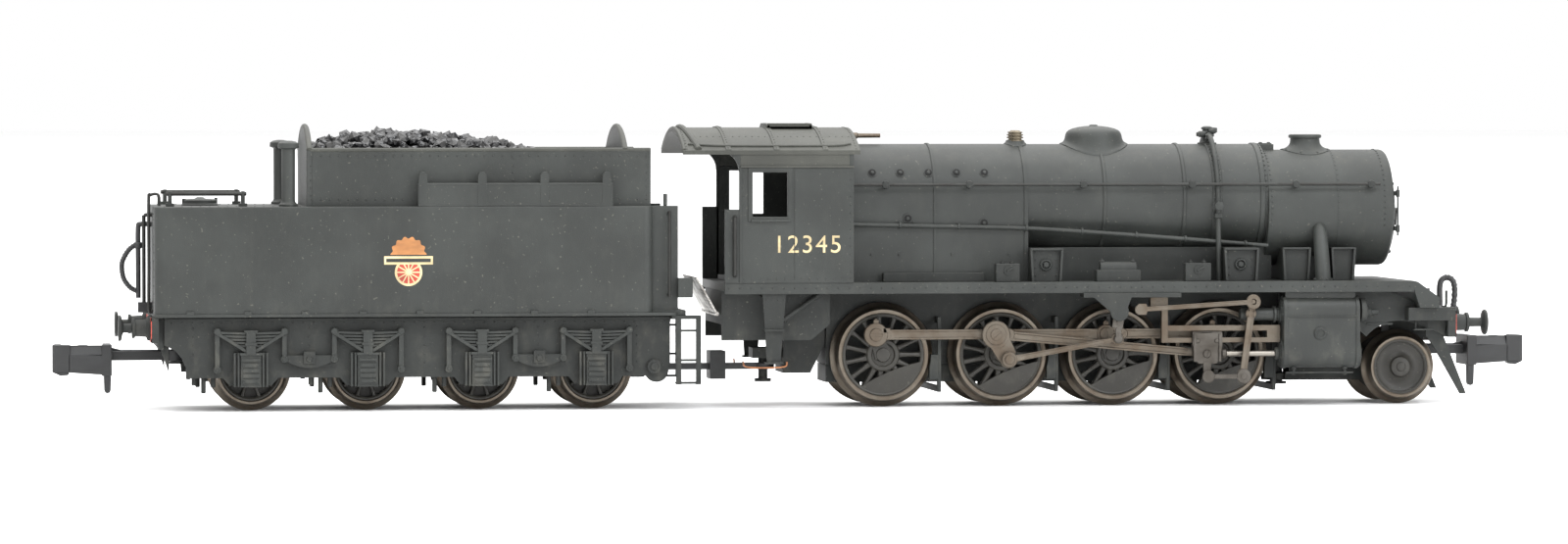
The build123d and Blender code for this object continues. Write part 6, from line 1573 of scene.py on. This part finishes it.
class LOCO_OT_motion(bpy.types.Operator):
    """Coupling and connecting rods, crossheads, and the levers and links of the valve gear"""
    bl_idname = "loco.motion"
    bl_label = "Rods and valve gear"

    def execute(self, context):
        for side in (NEAR, FAR):
            for piece in (coupling_rod_piece, connecting_rod_piece, eccentric_rod_piece, crosshead_piece,
                          combination_lever_piece, radius_rod_piece, expansion_link_piece):
                piece(side)
        return {"FINISHED"}


class LOCO_OT_boiler(bpy.types.Operator):
    """Firebox, barrel, bands, plugs and rivets"""
    bl_idname = "loco.boiler"
    bl_label = "Boiler"

    def execute(self, context):
        boiler_pieces(context.scene.loco_boiler)
        return {"FINISHED"}


class LOCO_OT_mountings(bpy.types.Operator):
    """Smokebox with its door, chimney, dome, safety valves, top feed, handrails and pipes"""
    bl_idname = "loco.mountings"
    bl_label = "Smokebox and mountings"

    def execute(self, context):
        for piece in (smokebox_pieces, chimney_piece, dome_piece, valve_pieces, top_feed_piece, handrail_pieces, pipe_pieces):
            piece()
        return {"FINISHED"}


class LOCO_OT_cab(bpy.types.Operator):
    """Cab sides, backhead, arched roof with its ventilator, and the running number"""
    bl_idname = "loco.cab"
    bl_label = "Cab"

    def execute(self, context):
        cab_pieces()
        roof_pieces()
        digits("12345", 1.7, (-0.1, 9.105, 15.6), "engine")
        return {"FINISHED"}


class LOCO_OT_underparts(bpy.types.Operator):
    """Running plate, cylinders, stays, brake gear, front beam, buffers and couplers"""
    bl_idname = "loco.underparts"
    bl_label = "Frame and cylinders"

    def execute(self, context):
        frame_pieces()
        cylinder_pieces()
        front_pieces()
        buffer_pieces()
        return {"FINISHED"}


class LOCO_OT_tender(bpy.types.Operator):
    """Tender tank and bunker, coal, side frames with springs, and the fittings on top and behind"""
    bl_idname = "loco.tender"
    bl_label = "Tender"

    def execute(self, context):
        settings = context.scene.loco_tender
        tank_pieces()
        coal_piece(settings)
        tender_frame_pieces(settings)
        tender_fitting_pieces()
        emblem()
        return {"FINISHED"}


def lamp(name, position, target, size, power, tone=(1, 1, 1)):
    light = bpy.data.lights.new(name, "AREA")
    light.shape, light.size, light.size_y = "RECTANGLE", size[0], size[1]
    light.energy, light.color = power, tone
    holder = bpy.data.objects.new(name, light)
    bpy.context.scene.collection.objects.link(holder)
    holder.location = position
    direction = np.array(target, float) - np.array(position, float)
    pitch = math.acos(-direction[2] / np.linalg.norm(direction))
    holder.rotation_euler = (pitch, 0, math.atan2(direction[1], direction[0]) - math.pi / 2)
    return holder


class LOCO_OT_stage(bpy.types.Operator):
    """Wide pale floor, soft lamps and the camera"""
    bl_idname = "loco.stage"
    bl_label = "Stage"

    def execute(self, context):
        settings = context.scene.loco_stage
        side = np.linspace(-6.0, 6.0, 13)
        points = np.stack(np.broadcast_arrays(side[:, None], side[None], 0.0), axis=-1)
        surface, faces = grid(points)
        mesh = bpy.data.meshes.new("floor")
        mesh.from_pydata(surface.tolist(), [], faces)
        mesh.shade_smooth()
        floor = bpy.data.objects.new("floor", mesh)
        context.scene.collection.objects.link(floor)
        pale = Finish("floor_paper")
        cloud = pale.band(pale.noise(0.01, 3.0), 0.3, 0.7)
        tone = tuple(settings.floor)
        pale.set(Base_Color=pale.mix(cloud * 0.5, tone, tuple(0.985 * c for c in tone)), Roughness=0.7)
        mesh.materials.append(pale.material)

        world = bpy.data.worlds.new("soft_room")
        world.use_nodes = True
        background = world.node_tree.nodes["Background"]
        background.inputs["Color"].default_value = (1, 1, 1, 1)
        background.inputs["Strength"].default_value = 1.0 * settings.light
        context.scene.view_settings.view_transform = "Standard"
        context.scene.world = world
        power = settings.light
        lamp("key", (-0.35, -0.35, 0.35), (-0.02, 0, 0.012), (0.35, 0.3), 1.0 * power, (1, 0.99, 0.97))
        lamp("fill", (0.3, -0.42, 0.14), (0.05, 0, 0.02), (0.24, 0.1), 0.8 * power, (0.98, 0.99, 1))
        lamp("front", (0.16, -0.33, 0.38), (0.03, 0, 0.02), (0.5, 0.12), 1.7 * power, (0.96, 0.98, 1))
        lamp("top", (0.0, 0.05, 0.5), (0, 0, 0.02), (0.8, 0.4), 4.4 * power)
        lamp("far", (0.0, 1.6, 1.2), (0, 1.9, 0), (2.6, 1.4), 30.0 * power)

        camera = bpy.data.cameras.new("camera")
        camera.sensor_width, camera.lens = 36.0, 6523.8 / 1600 * 36.0
        camera.clip_start, camera.clip_end = 0.01, 10.0
        view = bpy.data.objects.new("camera", camera)
        context.scene.collection.objects.link(view)
        view.location = (-0.08255, -0.6103, 0.02906)
        view.rotation_euler = (math.radians(90 - 1.511), 0, math.radians(-7.598))
        context.scene.camera = view
        return {"FINISHED"}


class LOCO_PT_pieces(bpy.types.Panel):
    """Lists the operators in the order they are run"""
    bl_idname = "LOCO_PT_pieces"
    bl_label = "Locomotive"
    bl_space_type = "VIEW_3D"
    bl_region_type = "UI"
    bl_category = "Locomotive"

    def draw(self, context):
        column = self.layout.column()
        for operator in OPERATORS:
            column.operator(operator.bl_idname)
        for group in GROUPS:
            settings = getattr(context.scene, group)
            for name in settings.__annotations__:
                column.prop(settings, name)


OPERATORS = (
    LOCO_OT_finishes, LOCO_OT_boiler, LOCO_OT_mountings, LOCO_OT_cab, LOCO_OT_underparts,
    LOCO_OT_wheels, LOCO_OT_motion, LOCO_OT_tender, LOCO_OT_stage,
)
GROUPS = {
    "loco_finish": FinishSettings, "loco_boiler": BoilerSettings, "loco_wheels": WheelSettings,
    "loco_tender": TenderSettings, "loco_stage": StageSettings,
}


def register():
    for cls in (*GROUPS.values(), *OPERATORS, LOCO_PT_pieces):
        bpy.utils.register_class(cls)
    for name, group in GROUPS.items():
        setattr(bpy.types.Scene, name, bpy.props.PointerProperty(type=group))


def unregister():
    for name in GROUPS:
        delattr(bpy.types.Scene, name)
    for cls in (LOCO_PT_pieces, *reversed(OPERATORS), *reversed(list(GROUPS.values()))):
        bpy.utils.unregister_class(cls)


def main():
    register()
    for operator in OPERATORS:
        group, name = operator.bl_idname.split(".")
        getattr(getattr(bpy.ops, group), name)()


if __name__ == "__main__":
    main()
